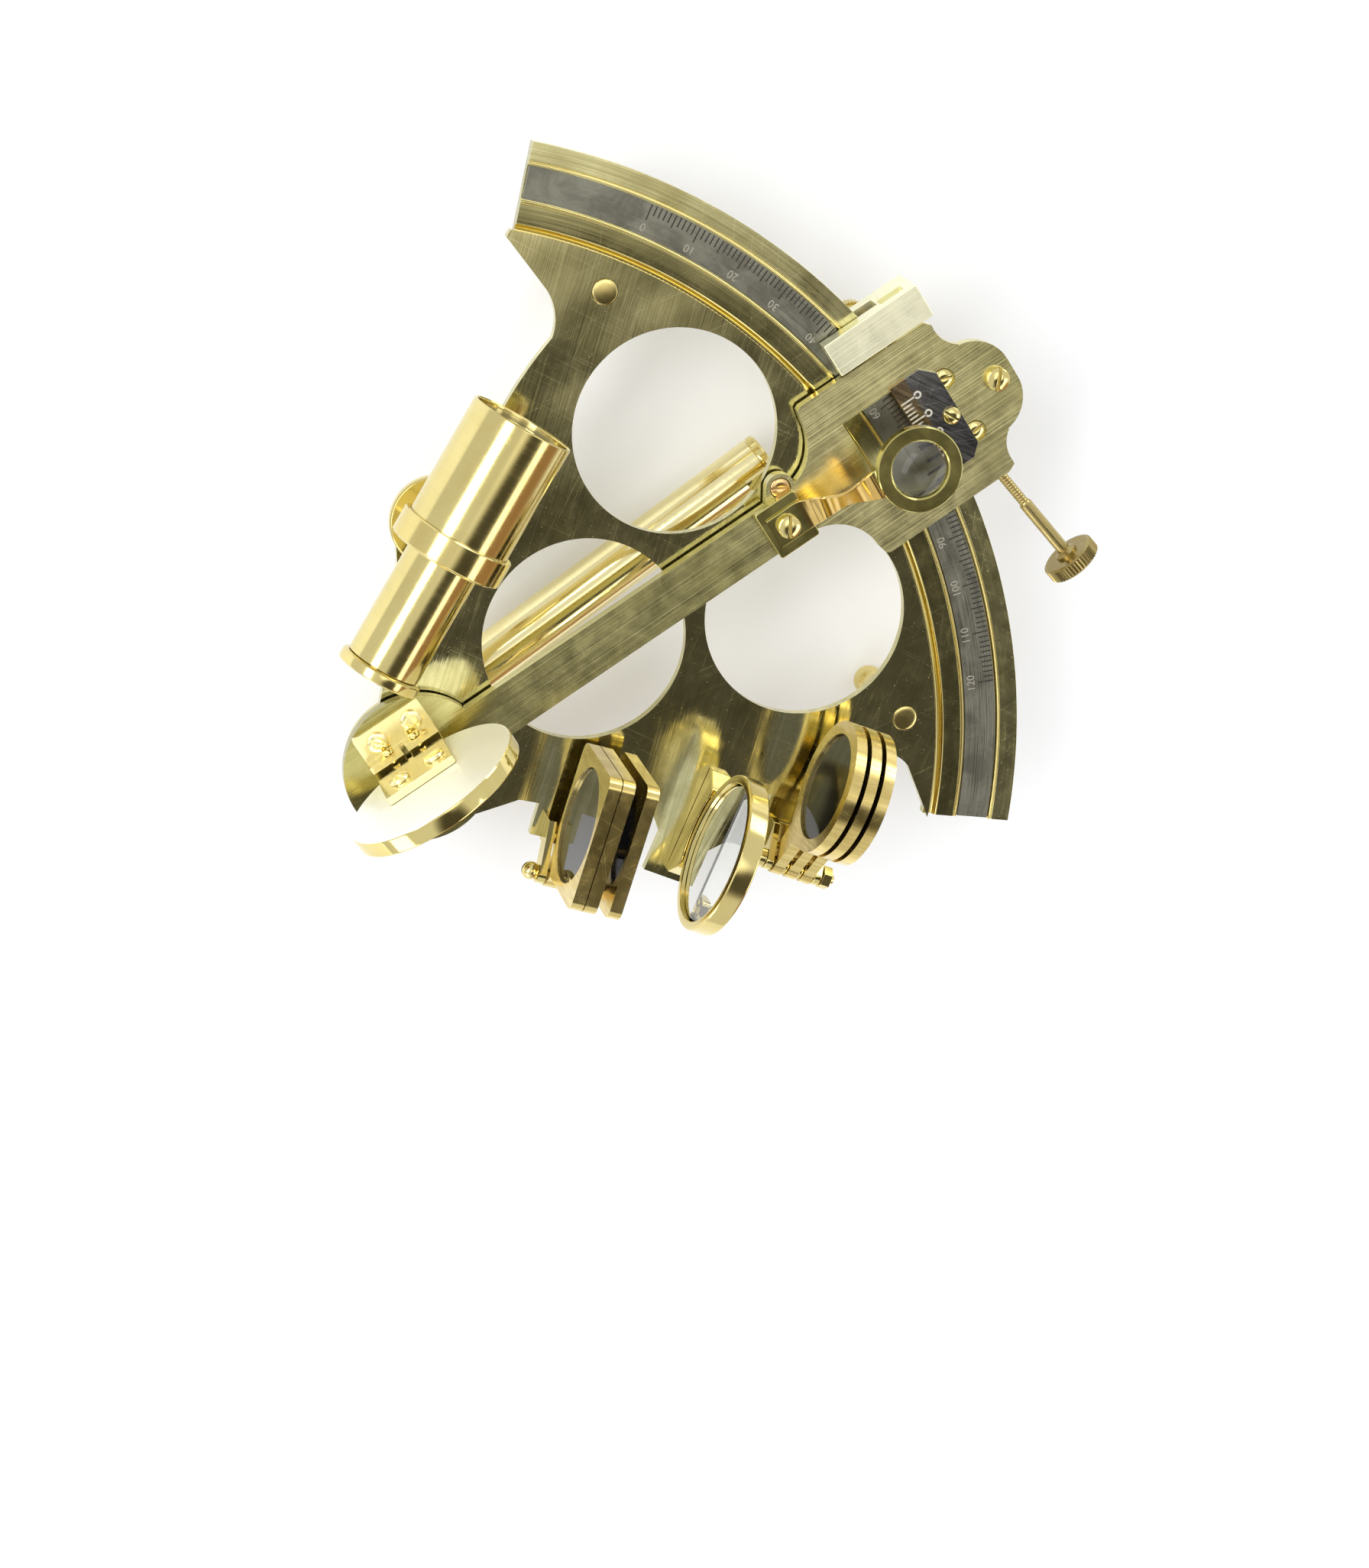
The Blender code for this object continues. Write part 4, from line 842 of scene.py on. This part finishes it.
def make_vernier():
    outline = [(-15.4, 171.2), (15.4, 171.2), (15.4, 183.0), (12.4, 186.2), (-11.6, 186.2), (-15.4, 182.4)]
    high = ARM_TOP + 0.12
    bevel = turned_to(block(-30, 30, -4, 0, -1.2, 3), "X", 24)
    piece("vernier_scale", prism(outline, high, high + 1.0), "vernier", "index_arm", ARM, ["vernier_plate"],
          cut=[moved(rod(1.4, 0, 9), 1.2, 183.6), moved(bevel, 0, 172.9, high + 0.35)], bevel=0.12)
    top = high + 1.0
    line_low, line_high = top + LINE_LOW, top + LINE_HIGH
    marks = []
    for i in range(16):
        x = -9.4 + 1.25 * i
        long = 4.6 if i % 5 == 0 else 2.7
        marks.append(block(x - 0.24, x + 0.24, 173.0, 173.0 + long, line_low, line_high))
        marks.append(moved(rod(0.24, line_low, line_high, 14), x, 173.0 + long))
        if i % 5 == 0:
            ring = [(0.62, line_low), (1.15, line_low), (1.15, line_high), (0.62, line_high)]
            marks.append(moved(turned(ring, 28), x, 178.5))
    piece("vernier_marks", merged(*marks), "vernier_line", "index_arm", ARM, bevel=0)
    screw("vernier_screw", ARM, "index_arm", (1.2, 183.6, top), 2.5, 1.2, 1.1, 3.6, slot=25, dome=0.3)


def ribbon(route, widths, twists, thick, steps=10):
    """A twisted flat strip along a route in the YZ plane, smoothed between its stations."""
    def between(values, t):
        i = min(int(t), len(values) - 2)
        a, b = values[i], values[i + 1]
        before, after = values[max(i - 1, 0)], values[min(i + 2, len(values) - 1)]
        f = t - i
        m0, m1 = (b - before) * 0.5, (after - a) * 0.5
        near = (2 * f**3 - 3 * f**2 + 1) * a + (f**3 - 2 * f**2 + f) * m0
        return near + (3 * f**2 - 2 * f**3) * b + (f**3 - f**2) * m1

    bm = bmesh.new()
    sections = []
    points = [Vector(p) for p in route]
    for k in range((len(route) - 1) * steps + 1):
        t = k / steps
        at, width, twist = between(points, t), between(widths, t), radians(between(twists, t))
        across = Vector((cos(twist), 0, sin(twist))) * width / 2
        up = Vector((-sin(twist), 0, cos(twist))) * thick
        edge = across * (1 - 0.05)
        ring = [at - across + up * 0.2, at - edge, at + edge, at + across + up * 0.2]
        ring += [at + across + up * 0.8, at + edge + up, at - edge + up, at - across + up * 0.8]
        sections.append([bm.verts.new(p) for p in ring])
    for one, two in zip(sections, sections[1:]):
        for k in range(8):
            n = (k + 1) % 8
            bm.faces.new([one[k], one[n], two[n], two[k]])
    bm.faces.new(sections[0])
    bm.faces.new(sections[-1])
    bmesh.ops.recalc_face_normals(bm, faces=bm.faces)
    return bm


def make_magnifier():
    low = ARM_TOP + 0.1
    high = low + 3.6
    base = rounded([(-7.6, 121.6), (7.6, 121.6), (7.6, 134.6), (-7.6, 134.6)], 0.8, 5)
    piece("magnifier_block", prism(base, low, high), "lens_ring", "index_arm", ARM, ["magnifier_base"],
          cut=[moved(rod(1.6, 0, 20), 0, MAGNIFIER_ALONG)], bevel=0.35, steps=3)
    screw("magnifier_screw", ARM, "index_arm", (0, MAGNIFIER_ALONG, high + 1.15), 3.3, 2.2, 1.3, 5.2,
          slot=-35, dome=0.4)
    ring_x, ring_y, ring_up = 4.4, 38.5, 17.0
    strip = ribbon([(0, -4.6, high + 0.1), (0, 0.0, high + 0.1), (0, 4.8, high + 0.1), (0.2, 8.0, high + 0.9),
                    (0.9, 17.0, high + 5.3), (1.4, 24.5, ring_up + 0.5), (2.0, 28.8, ring_up + 1.3)],
                   [9.0, 9.0, 9.0, 8.6, 8.4, 9.0, 9.6], [0.0, 0.0, 0.0, -10.0, -50.0, -20.0, 0.0], 1.0)
    ring = [(8.2, ring_up + 0.3), (8.5, ring_up), (11.9, ring_up), (12.2, ring_up + 0.3),
            (12.2, ring_up + 2.9), (11.9, ring_up + 3.2), (8.6, ring_up + 3.2), (8.2, ring_up + 2.8)]
    holder = piece("magnifier_holder", moved(turned(ring, 96), ring_x, ring_y), "lens_ring", "magnifier",
                   MAGNIFIER,
                   ["magnifier_arm"], [strip], [rod(1.6, 0, 30), moved(rod(8.2, 10, 30, 96), ring_x, ring_y)],
                   bevel=0.1)
    # painted reflection: orange brass on the strip's twisted stretch, over the holder's own brass
    lay(holder, "warm_reflection_strip", lambda c, n: 5.0 < c.y < ring_y - 12.0)
    lens = [(0, ring_up + 0.3)] + [(7.9 * k / 6, ring_up + 0.3 + 0.9 * (k / 6) ** 2) for k in range(1, 7)]
    lens += [(7.9 * k / 6, ring_up + 2.8 - 0.9 * (k / 6) ** 2) for k in range(6, 0, -1)] + [(0,
                                                                                             ring_up + 2.8)]
    piece("magnifier_glass", moved(turned(lens, 72), ring_x, ring_y), "lens", "magnifier", MAGNIFIER,
          ["magnifier_lens"], bevel=0)


def make_carriage():
    x0, x1, y0, y1 = -36.4, -26.2, 163.2, 194.0
    low, high, reach = 0.6, ARM_TOP + 1.4, 182.5
    slot = block(x0 - 1, x0 + 2.4, reach + 0.8, reach + 8.4, -2.6, 2.6)
    piece("clamp_block", block(x0, x1, y0, y1, low, high), "block", "carriage", ARM, ["clamp_carriage"],
          [block(x0, x1, reach, y1, -11.0, low + 1), block(x0, x1, y0 + 4, reach + 1, -11.0, -6.6)],
          [slot, moved(rod(2.4, -20, -1), *CLAMP_AT), tangent_bore()], bevel=0.3, steps=3)
    thumb = [(0, -18.6), (4.2, -18.6), (4.4, -19.0), (5.0, -19.0), (5.0, -14.2), (3.4, -13.6), (2.1, -13.4),
             (2.1, -4.4), (0, -4.4)]
    piece("clamp_thumb_knob", turned(thumb, 48), "lathe", "clamp_screw", CLAMP, ["clamp_thumb_screw"],
          [fluted(6.0, 0.45, 36, -18.7, -14.4)], bevel=0.08)
    threaded = thread(1.32, 1.55, 0.95, -61.0, 13.2)
    shank = [(0, 12.6), (1.35, 12.6), (1.9, 13.4), (1.9, 31.9), (2.5, 32.4), (3.3, 32.8), (3.3, 33.8),
             (0, 33.8)]
    piece("tangent_rod", along_x(merged(threaded, turned(shank, 48))), "dull", "tangent_screw", TANGENT,
          ["tangent_screw"], bevel=0)
    knob = [(0, 33.5), (7.3, 33.5), (7.7, 33.9), (7.7, 37.5), (7.3, 37.9), (4.2, 37.9), (3.6, 37.4),
            (0, 37.4)]
    piece("tangent_knob", turned_x(knob, 64), "dull", "tangent_screw", TANGENT,
          join=[along_x(fluted(8.2, 0.55, 44, 33.9, 37.5))], bevel=0.08)


def make_index_mirror():
    along, up, low = 6.0, 33.0, ARM_TOP + 0.1
    base = rounded([(-18.6, -6.4), (-8.6, -6.4), (-8.6, 15.2), (-18.6, 15.2)], 0.7, 4)
    lip = block(-10.6, -8.6, -6.4, 15.2, low + 1.0, low + 7.4)
    notch = block(-12, -8, 3.7, 5.3, low + 2.6, low + 9)
    seats = [moved(rod(1.5, 0, 20), -14.2, y) for y in (-0.6, 10.6)]
    seats += [moved(along_x(rod(1.5, -30, 0)), 0, y, low + 5.4) for y in (0.2, 8.8)]
    piece("index_mirror_foot", prism(base, low, low + 2.3), "plate", "index_arm", ARM, ["index_mirror_base"],
          [lip], [*seats, notch], bevel=0.25, steps=3)
    upright = rounded([(-6.4, low + 0.6), (15.2, low + 0.6), (15.2, low + 27.0), (-6.4, low + 27.0)], 0.7, 4)
    holes = [moved(along_x(rod(1.5, -30, 0)), 0, y, low + 20.0) for y in (-0.6, 10.6)]
    slit = block(-9, -4, 3.7, 5.3, low, low + 9.0)
    piece("index_mirror_back_plate", turned_to(standing(upright, 5.15, 7.4), "Z", 90), "plate", "index_arm",
          ARM, ["index_mirror_upright"], cut=[*holes, slit], bevel=0.25, steps=3)
    r = 26.0
    holder = [(0, -5.0), (r - 0.7, -5.0), (r - 0.2, -4.8), (r, -4.3), (r, -0.6), (r - 0.2, -0.1),
              (r - 0.6, 0), (r - 1.6, 0), (r - 1.8, -0.2), (r - 1.8, -2.2), (0, -2.2)]
    disc = piece("index_mirror_disc", turned_x(holder, 128, along, up), "bright", "index_arm", ARM,
                 ["index_mirror_holder"], bevel=0)
    # the disc's back faces get the painted highlight brass
    lay(disc, "pale", lambda c, n: n.x < -0.9)
    face = r - 2.0
    mirror = [(0, -2.0), (face, -2.0), (face, -0.6), (face - 0.5, -0.25), (0, -0.25)]
    piece("index_mirror_face", turned_x(mirror, 96, along, up), "mirror", "index_arm", ARM,
          ["index_mirror_glass"], bevel=0)
    for name, y, slot in (("base_screw_lower", -0.6, 40), ("base_screw_upper", 10.6, 5)):
        screw(f"index_{name}", ARM, "index_arm", (-14.2, y, low + 2.35), 3.0, 1.0, 1.2, 2.2, look="plate",
              slot=slot)
    for name, y, slot in (("plate_screw_lower", -0.6, 15), ("plate_screw_upper", 10.6, 70)):
        screw(f"index_{name}", ARM, "index_arm", (-7.45, y, low + 20.0), 3.0, 1.0, 1.2, 2.0, (-1, 0, 0),
              "plate", slot)
    for name, y in (("adjuster_lower", 0.2), ("adjuster_upper", 8.8)):
        screw(f"index_{name}", ARM, "index_arm", (-10.7, y, low + 5.4), 1.6, 1.1, 1.2, 2.8, (-1, 0, 0),
              slot=30, dome=0.2)


# ---------------------------------------------------------------- fittings on the frame


def make_horizon_mirror():
    foot = [(-16.2, 0.1), (16.2, 0.1), (16.2, 3.0), (12.4, 9.6), (-12.4, 9.6), (-16.2, 3.0)]
    r, up = 23.0, 30.5
    ring = [(r - 4.4, 3.1), (r - 4.4, 1.6), (r - 2.6, 1.6), (r - 2.6, -2.3), (r - 2.3, -2.6), (r - 0.7, -2.6),
            (r - 0.2, -2.35), (r, -1.9), (r, 2.7), (r - 0.2, 3.2), (r - 0.7, 3.4), (r - 4.1, 3.4)]
    socket = moved(along_y(rod(r + 0.1, -8, 8, 128)), 0, 0, up)
    piece("horizon_foot", standing(foot, -3.2, 2.8), "bright", "frame", HORIZON, ["horizon_mirror_foot"],
          cut=[socket], bevel=0.3, steps=3)
    ear = standing(rounded([(14.5, up - 9.0), (20.5, up - 9.0), (20.5, up - 1.0), (14.5, up - 1.0)], 1.5, 6),
                   3.0, 5.4)
    piece("horizon_ring", turned_y(ring, 128, z=up), "ring", "frame", HORIZON, ["horizon_mirror_ring"],
          [ear], bevel=0.12)
    screw("horizon_adjuster", HORIZON, "frame", (18.4, 5.5, up - 5.0), 2.2, 2.4, 1.0, 0.1, (0, 1, 0), slot=10,
          dome=0.3)
    inner = r - 2.8
    face = [(0, -1.2), (inner - 0.3, -1.2), (inner, -0.9), (inner, 1.2), (0, 1.2)]
    piece("horizon_silvered_half", turned_y(face, 96, z=up), "mirror", "frame", HORIZON,
          ["horizon_mirror_silvered"], cut=[block(-30, 30, -5, 5, up - 0.05, up + 40)], bevel=0)
    piece("horizon_clear_half", turned_y(face, 96, z=up), "clear", "frame", HORIZON,
          ["horizon_mirror_clear"], cut=[block(-30, 30, -5, 5, up - 40, up + 0.05)], bevel=0)


def shade_bracket(name, at, pin_up, low, high, tab_end):
    ears = []
    for y0, y1 in ((low - 2.6, low - 0.4), (high + 0.4, high + 2.6)):
        side = [(tab_end - 7.0, 0.1), (0, pin_up - 3.0)] + arc((0, pin_up), 3.0, -60, 100,
                                                               18) + [(tab_end - 7.0, 5.0)]
        ears.append(standing(side, y0, y1))
    hole = moved(along_y(rod(1.6, -60, 60)), 0, 0, pin_up)
    piece(f"{name}_saddle", block(tab_end - 7.0, tab_end, low - 2.6, high + 2.6, 0.1, 2.6), "bright", "frame",
          at, [name], ears, [hole], bevel=0.25, steps=3)


def shade(name, at, outline, centre, glass_radius, y, thick):
    cx, cz = centre
    reach = sqrt(cx * cx + cz * cz)
    away = Vector((cx / reach, cz / reach))
    side = Vector((-away.y, away.x)) * 3.0
    far = away * (reach - glass_radius - 1.2)
    tail = standing([tuple(p) for p in (-side, far - side * 1.5, far + side * 1.5, side)], y + 0.01,
                    y + thick - 0.01)
    knuckle = standing(arc((0, 0), 3.4, 0, 352.5, 47), y, y + thick)
    opening = moved(along_y(rod(glass_radius, -60, 60, 96)), cx, 0, cz)
    piece(f"{name}_holder", standing(outline, y, y + thick), "shade", name, at, [f"{name}_frame"],
          [tail, knuckle], [along_y(rod(1.6, -60, 60)), opening], bevel=0.35, steps=3)
    edge = glass_radius - 0.1
    pane = [(0, y + 0.8), (edge, y + 0.8), (edge, y + thick - 0.8), (0, y + thick - 0.8)]
    piece(f"{name}_pane", turned_y(pane, 96, cx, cz), "smoked", name, at, [f"{name}_glass"], bevel=0.1)


def make_index_shades():
    places, thick, up = (-7.3, -3.4, 3.7), 3.6, 8.5
    low, high = places[0], places[-1] + thick
    shade_bracket("index_shade_bracket", INDEX_SHADES, up, low, high, -7.6)
    ball = arc((0, low - 4.6), 2.6, -90.0, 25.0, 14)
    pin = [(max(0.0, r), z) for r, z in ball] + [(2.2, low - 3.2), (2.2, low - 2.8), (1.3, low - 2.8),
                                                 (1.3, high + 3.1)]
    pin += [(2.4, high + 3.1), (2.6, high + 3.3), (2.6, high + 4.7), (2.3, high + 5.0), (0, high + 5.0)]
    slot = block(-9, 9, low - 9, low - 6.2, up - 0.35, up + 0.35)
    piece("index_shade_pivot_pin", turned_y(pin, 48, z=up), "lathe", "frame", INDEX_SHADES,
          ["index_shade_pin"], cut=[slot], bevel=0)
    cx, cz = -20.5, 16.5
    corners = [(cx + 19.6, cz - 12.0), (cx + 19.6, cz + 18.3), (cx - 19.8, cz + 18.3), (cx - 19.8, cz - 18.3),
               (cx + 12.0, cz - 18.3)]
    for i, y in enumerate(places, 1):
        shade(f"index_shade_{i}", INDEX_SHADES @ place(0, 0, up), rounded(corners, 3.2, 10), (cx, cz), 16.6,
              y, thick)


def make_horizon_shades():
    thick, pitch, up, radius = 3.2, 4.6, 9.0, 19.5
    places = [-6.2 + pitch * i for i in range(3)]
    low, high = places[0], places[-1] + thick
    shade_bracket("horizon_shade_bracket", HORIZON_SHADES, up, low, high, -3.0)
    pin = [(0, low - 5.2), (2.2, low - 5.2), (2.8, low - 4.6), (2.8, low - 2.8), (1.3, low - 2.8),
           (1.3, high + 6.9), (0, high + 7.2)]
    nut = prism(arc((0, 0), 3.4, 0, 300, 5), high + 2.9, high + 5.6)
    piece("horizon_shade_pivot_pin", turned_y(pin, 48, z=up), "lathe", "frame", HORIZON_SHADES,
          ["horizon_shade_pin"], [moved(along_y(nut), 0, 0, up)], bevel=0.12)
    for y in (places[0] + thick + 0.15, places[1] + thick + 0.15):
        washer = [(1.45, y), (2.7, y), (2.7, y + pitch - thick - 0.3), (1.45, y + pitch - thick - 0.3)]
        piece(f"shade_washer_{int(y) + 9}", turned_y(washer, 40, z=up), "lathe", "frame", HORIZON_SHADES,
              bevel=0.1)
    cx, cz = -29.0, 16.5
    tail = degrees(atan2(-cz, -cx))
    reach = sqrt(cx * cx + cz * cz)
    along = Vector((-cx / reach, -cz / reach))
    side = Vector((-along.y, along.x))
    neck = Vector((cx, cz)) + along * (radius + 1.0)
    outline = [tuple(neck + side * 5.2), *arc((cx, cz), radius, tail + 26, tail + 334, 96),
               tuple(neck - side * 5.2)]
    for i, y in enumerate(places, 1):
        shade(f"horizon_shade_{i}", HORIZON_SHADES @ place(0, 0, up), outline, (cx, cz), 15.6, y, thick)


def make_telescope():
    up = 30.0
    stem = [(0, -10.0), (3.0, -10.0), (3.2, -9.8), (3.2, 0.1), (12.6, 0.1), (13.0, 0.5), (13.0, 2.5),
            (12.5, 3.0),
            (5.2, 3.4), (4.4, 4.0), (4.0, 5.2), (4.0, up - 16.6), (4.6, up - 15.4), (0, up - 15.4)]
    collar = [(14.85, -3.75), (16.0, -3.75), (16.3, -3.45), (16.3, 3.45), (16.0, 3.75), (14.85, 3.75)]
    piece("telescope_stem", turned(stem, 96), "lathe", "telescope", TELESCOPE, ["telescope_collar"],
          bevel=0.1)
    band = turned_y(collar, 128)
    piece("telescope_band", moved(band, 0, 0, up), "ring", "telescope", TELESCOPE, bevel=0)
    axis = TELESCOPE @ place(0, 0, up)
    r = 14.7
    tube = [(r - 1.0, 37.6), (r - 0.9, 38.0), (r - 0.5, 38.3), (r - 0.2, 38.2), (r, 37.9), (r, -4.1),
            (r - 0.3, -4.4), (10.8, -4.4), (10.8, -2.6), (r - 1.2, -2.6), (r - 1.2, 34.0), (r - 1.0, 34.2)]
    piece("telescope_barrel", turned_y(tube, 144), "tube", "telescope", axis, ["telescope_tube"], bevel=0)
    inner = r - 1.5
    lens = [(0, 34.0)] + [(inner * k / 6, 34.0 + 0.6 * (k / 6) ** 2) for k in range(1, 7)]
    lens += [(inner * k / 6, 37.0 - 1.0 * (k / 6) ** 2) for k in range(6, 0, -1)] + [(0, 37.0)]
    piece("objective_glass", turned_y(lens, 96), "lens", "telescope", axis, ["objective_lens"], bevel=0)
    sleeve = [(9.6, -37.4), (10.4, -37.4), (10.5, -37.2), (10.5, 4.8), (10.4, 5.0), (9.6, 5.0)]
    piece("draw_sleeve", turned_y(sleeve, 112), "tube", "draw_tube", axis, ["draw_tube"], bevel=0)
    cap = [(4.6, -40.6), (5.2, -41.0), (11.2, -41.0), (11.7, -40.8), (11.9, -40.4), (11.9, -38.4),
           (11.7, -38.0),
           (11.2, -37.8), (10.9, -37.6), (9.3, -37.6), (9.3, -34.6), (8.4, -34.6), (8.4, -38.6), (4.6, -38.6)]
    piece("eyepiece_cap", turned_y(cap, 112), "ring", "draw_tube", axis, ["eyepiece_ring"], bevel=0)
    eye = [(0, -38.3), (4.0, -38.2), (8.2, -37.9), (8.2, -36.6), (4.0, -35.9), (0, -35.6)]
    piece("eyepiece_glass", turned_y(eye, 64), "lens", "draw_tube", axis, ["eyepiece_lens"], bevel=0)


# ---------------------------------------------------------------- camera, floor and light


def make_camera():
    data = bpy.data.cameras.new("camera")
    data.sensor_fit, data.sensor_width, data.lens = "HORIZONTAL", 36.0, 98.36
    data.clip_start, data.clip_end = 0.01, 20.0
    camera = bpy.data.objects.new("camera", data)
    right = Vector((0.55202, 0.80545, 0.21568))
    up = Vector((-0.74766, 0.59264, -0.29964))
    back = Vector((-0.36917, 0.00415, 0.92935))
    turn = Matrix((right, up, back)).transposed().to_4x4()
    camera.matrix_world = Matrix.Translation((-0.34250, 0.06617, 0.99582 + FRONT * MM)) @ turn
    bpy.context.scene.collection.objects.link(camera)
    bpy.context.scene.camera = camera


def area(name, target, direction, distance, long_side, width, height, power):
    """A soft rectangular light that faces its target, with its height along long_side."""
    data = bpy.data.lights.new(name, "AREA")
    data.shape, data.size, data.size_y, data.energy = "RECTANGLE", width, height, power
    light = bpy.data.objects.new(name, data)
    out = Vector(direction).normalized()
    across = long_side.cross(out).normalized()
    turn = Matrix((across, out.cross(across), out)).transposed().to_4x4()
    light.matrix_world = Matrix.Translation(target + out * distance) @ turn
    bpy.context.scene.collection.objects.link(light)


def make_stage():
    bm = bmesh.new()
    bmesh.ops.create_grid(bm, x_segments=2, y_segments=2, size=6.0)
    mesh = bpy.data.meshes.new("floor")
    bm.to_mesh(mesh)
    bm.free()
    floor = bpy.data.objects.new("floor", mesh)
    floor.location = (0, 0, -0.0002)
    mesh.materials.append(floor_material())
    bpy.context.scene.collection.objects.link(floor)
    middle = Vector((0.0, 0.09, 0.05))
    along_tube = Vector((-0.41, 0.91, 0.0))
    area("key_softbox", middle, (-0.50, -0.40, 0.77), 1.05, along_tube, 0.34, 1.00, 5.5)
    area("right_softbox", middle, (0.66, 0.30, 0.69), 1.15, along_tube, 0.30, 0.80, 1.6)
    area("far_softbox", middle, (-0.15, 0.93, 0.33), 1.30, Vector((1, 0, 0)), 0.50, 0.90, 4.2)
    area("near_softbox", middle, (0.30, -0.90, 0.32), 1.30, Vector((1, 0, 0)), 0.50, 0.90, 3.8)
    make_world()


def make_world():
    """A pale studio with a dark ceiling patch over the arc's face and a warm bounce beside it."""
    world = bpy.data.worlds.new("studio")
    bpy.context.scene.world = world
    world.use_nodes = True
    tree = world.node_tree
    ground = tree.nodes["Background"]
    where = tree.nodes.new("ShaderNodeTexCoord").outputs["Generated"]

    def towards(direction, near, far, low, high):
        dot = tree.nodes.new("ShaderNodeVectorMath")
        dot.operation = "DOT_PRODUCT"
        dot.inputs[1].default_value = Vector(direction).normalized()
        tree.links.new(where, dot.inputs[0])
        fade = tree.nodes.new("ShaderNodeMapRange")
        fade.interpolation_type = "SMOOTHSTEP"
        for key, value in (("From Min", near), ("From Max", far), ("To Min", low), ("To Max", high)):
            fade.inputs[key].default_value = value
        tree.links.new(dot.outputs["Value"], fade.inputs["Value"])
        return fade.outputs["Result"]

    def maths(operation, one, two):
        node = tree.nodes.new("ShaderNodeMath")
        node.operation = operation
        tree.links.new(one, node.inputs[0])
        tree.links.new(two, node.inputs[1])
        return node.outputs[0]

    def tinted(share, colour, under=None):
        """A tint over another one, or over white."""
        node = tree.nodes.new("ShaderNodeMix")
        node.data_type = "RGBA"
        node.inputs[6].default_value = (1.0, 1.0, 1.0, 1.0)
        node.inputs[7].default_value = (*colour, 1.0)
        if under is not None:
            tree.links.new(under, node.inputs[6])
        tree.links.new(share, node.inputs[0])
        return node.outputs[2]

    ceiling, overhead, bounce = (0.46, -0.03, 0.89), (0.02, 0.16, 0.98), (0.90, 0.05, 0.35)
    light = maths("ADD", towards(ceiling, 0.90, 0.985, 0.82, 0.08), towards(overhead, 0.955, 0.995, 0.0, 1.2))
    light = maths("MULTIPLY", light, towards(bounce, 0.84, 0.96, 1.0, 0.5))
    tree.links.new(light, ground.inputs["Strength"])
    tint = tinted(towards(bounce, 0.84, 0.96, 0.0, 0.85), (1.0, 0.52, 0.22))
    tint = tinted(towards(ceiling, 0.92, 0.985, 0.0, 0.5), (1.0, 0.84, 0.50), tint)
    tree.links.new(tint, ground.inputs["Color"])


def set_view():
    bpy.context.scene.view_settings.view_transform = "Standard"
    bpy.context.scene.view_settings.look = "None"


make_frame()
make_divisions()
make_legs()
make_handle()
make_arm()
make_vernier()
make_magnifier()
make_carriage()
make_index_mirror()
make_horizon_mirror()
make_index_shades()
make_horizon_shades()
make_telescope()
make_camera()
make_stage()
set_view()
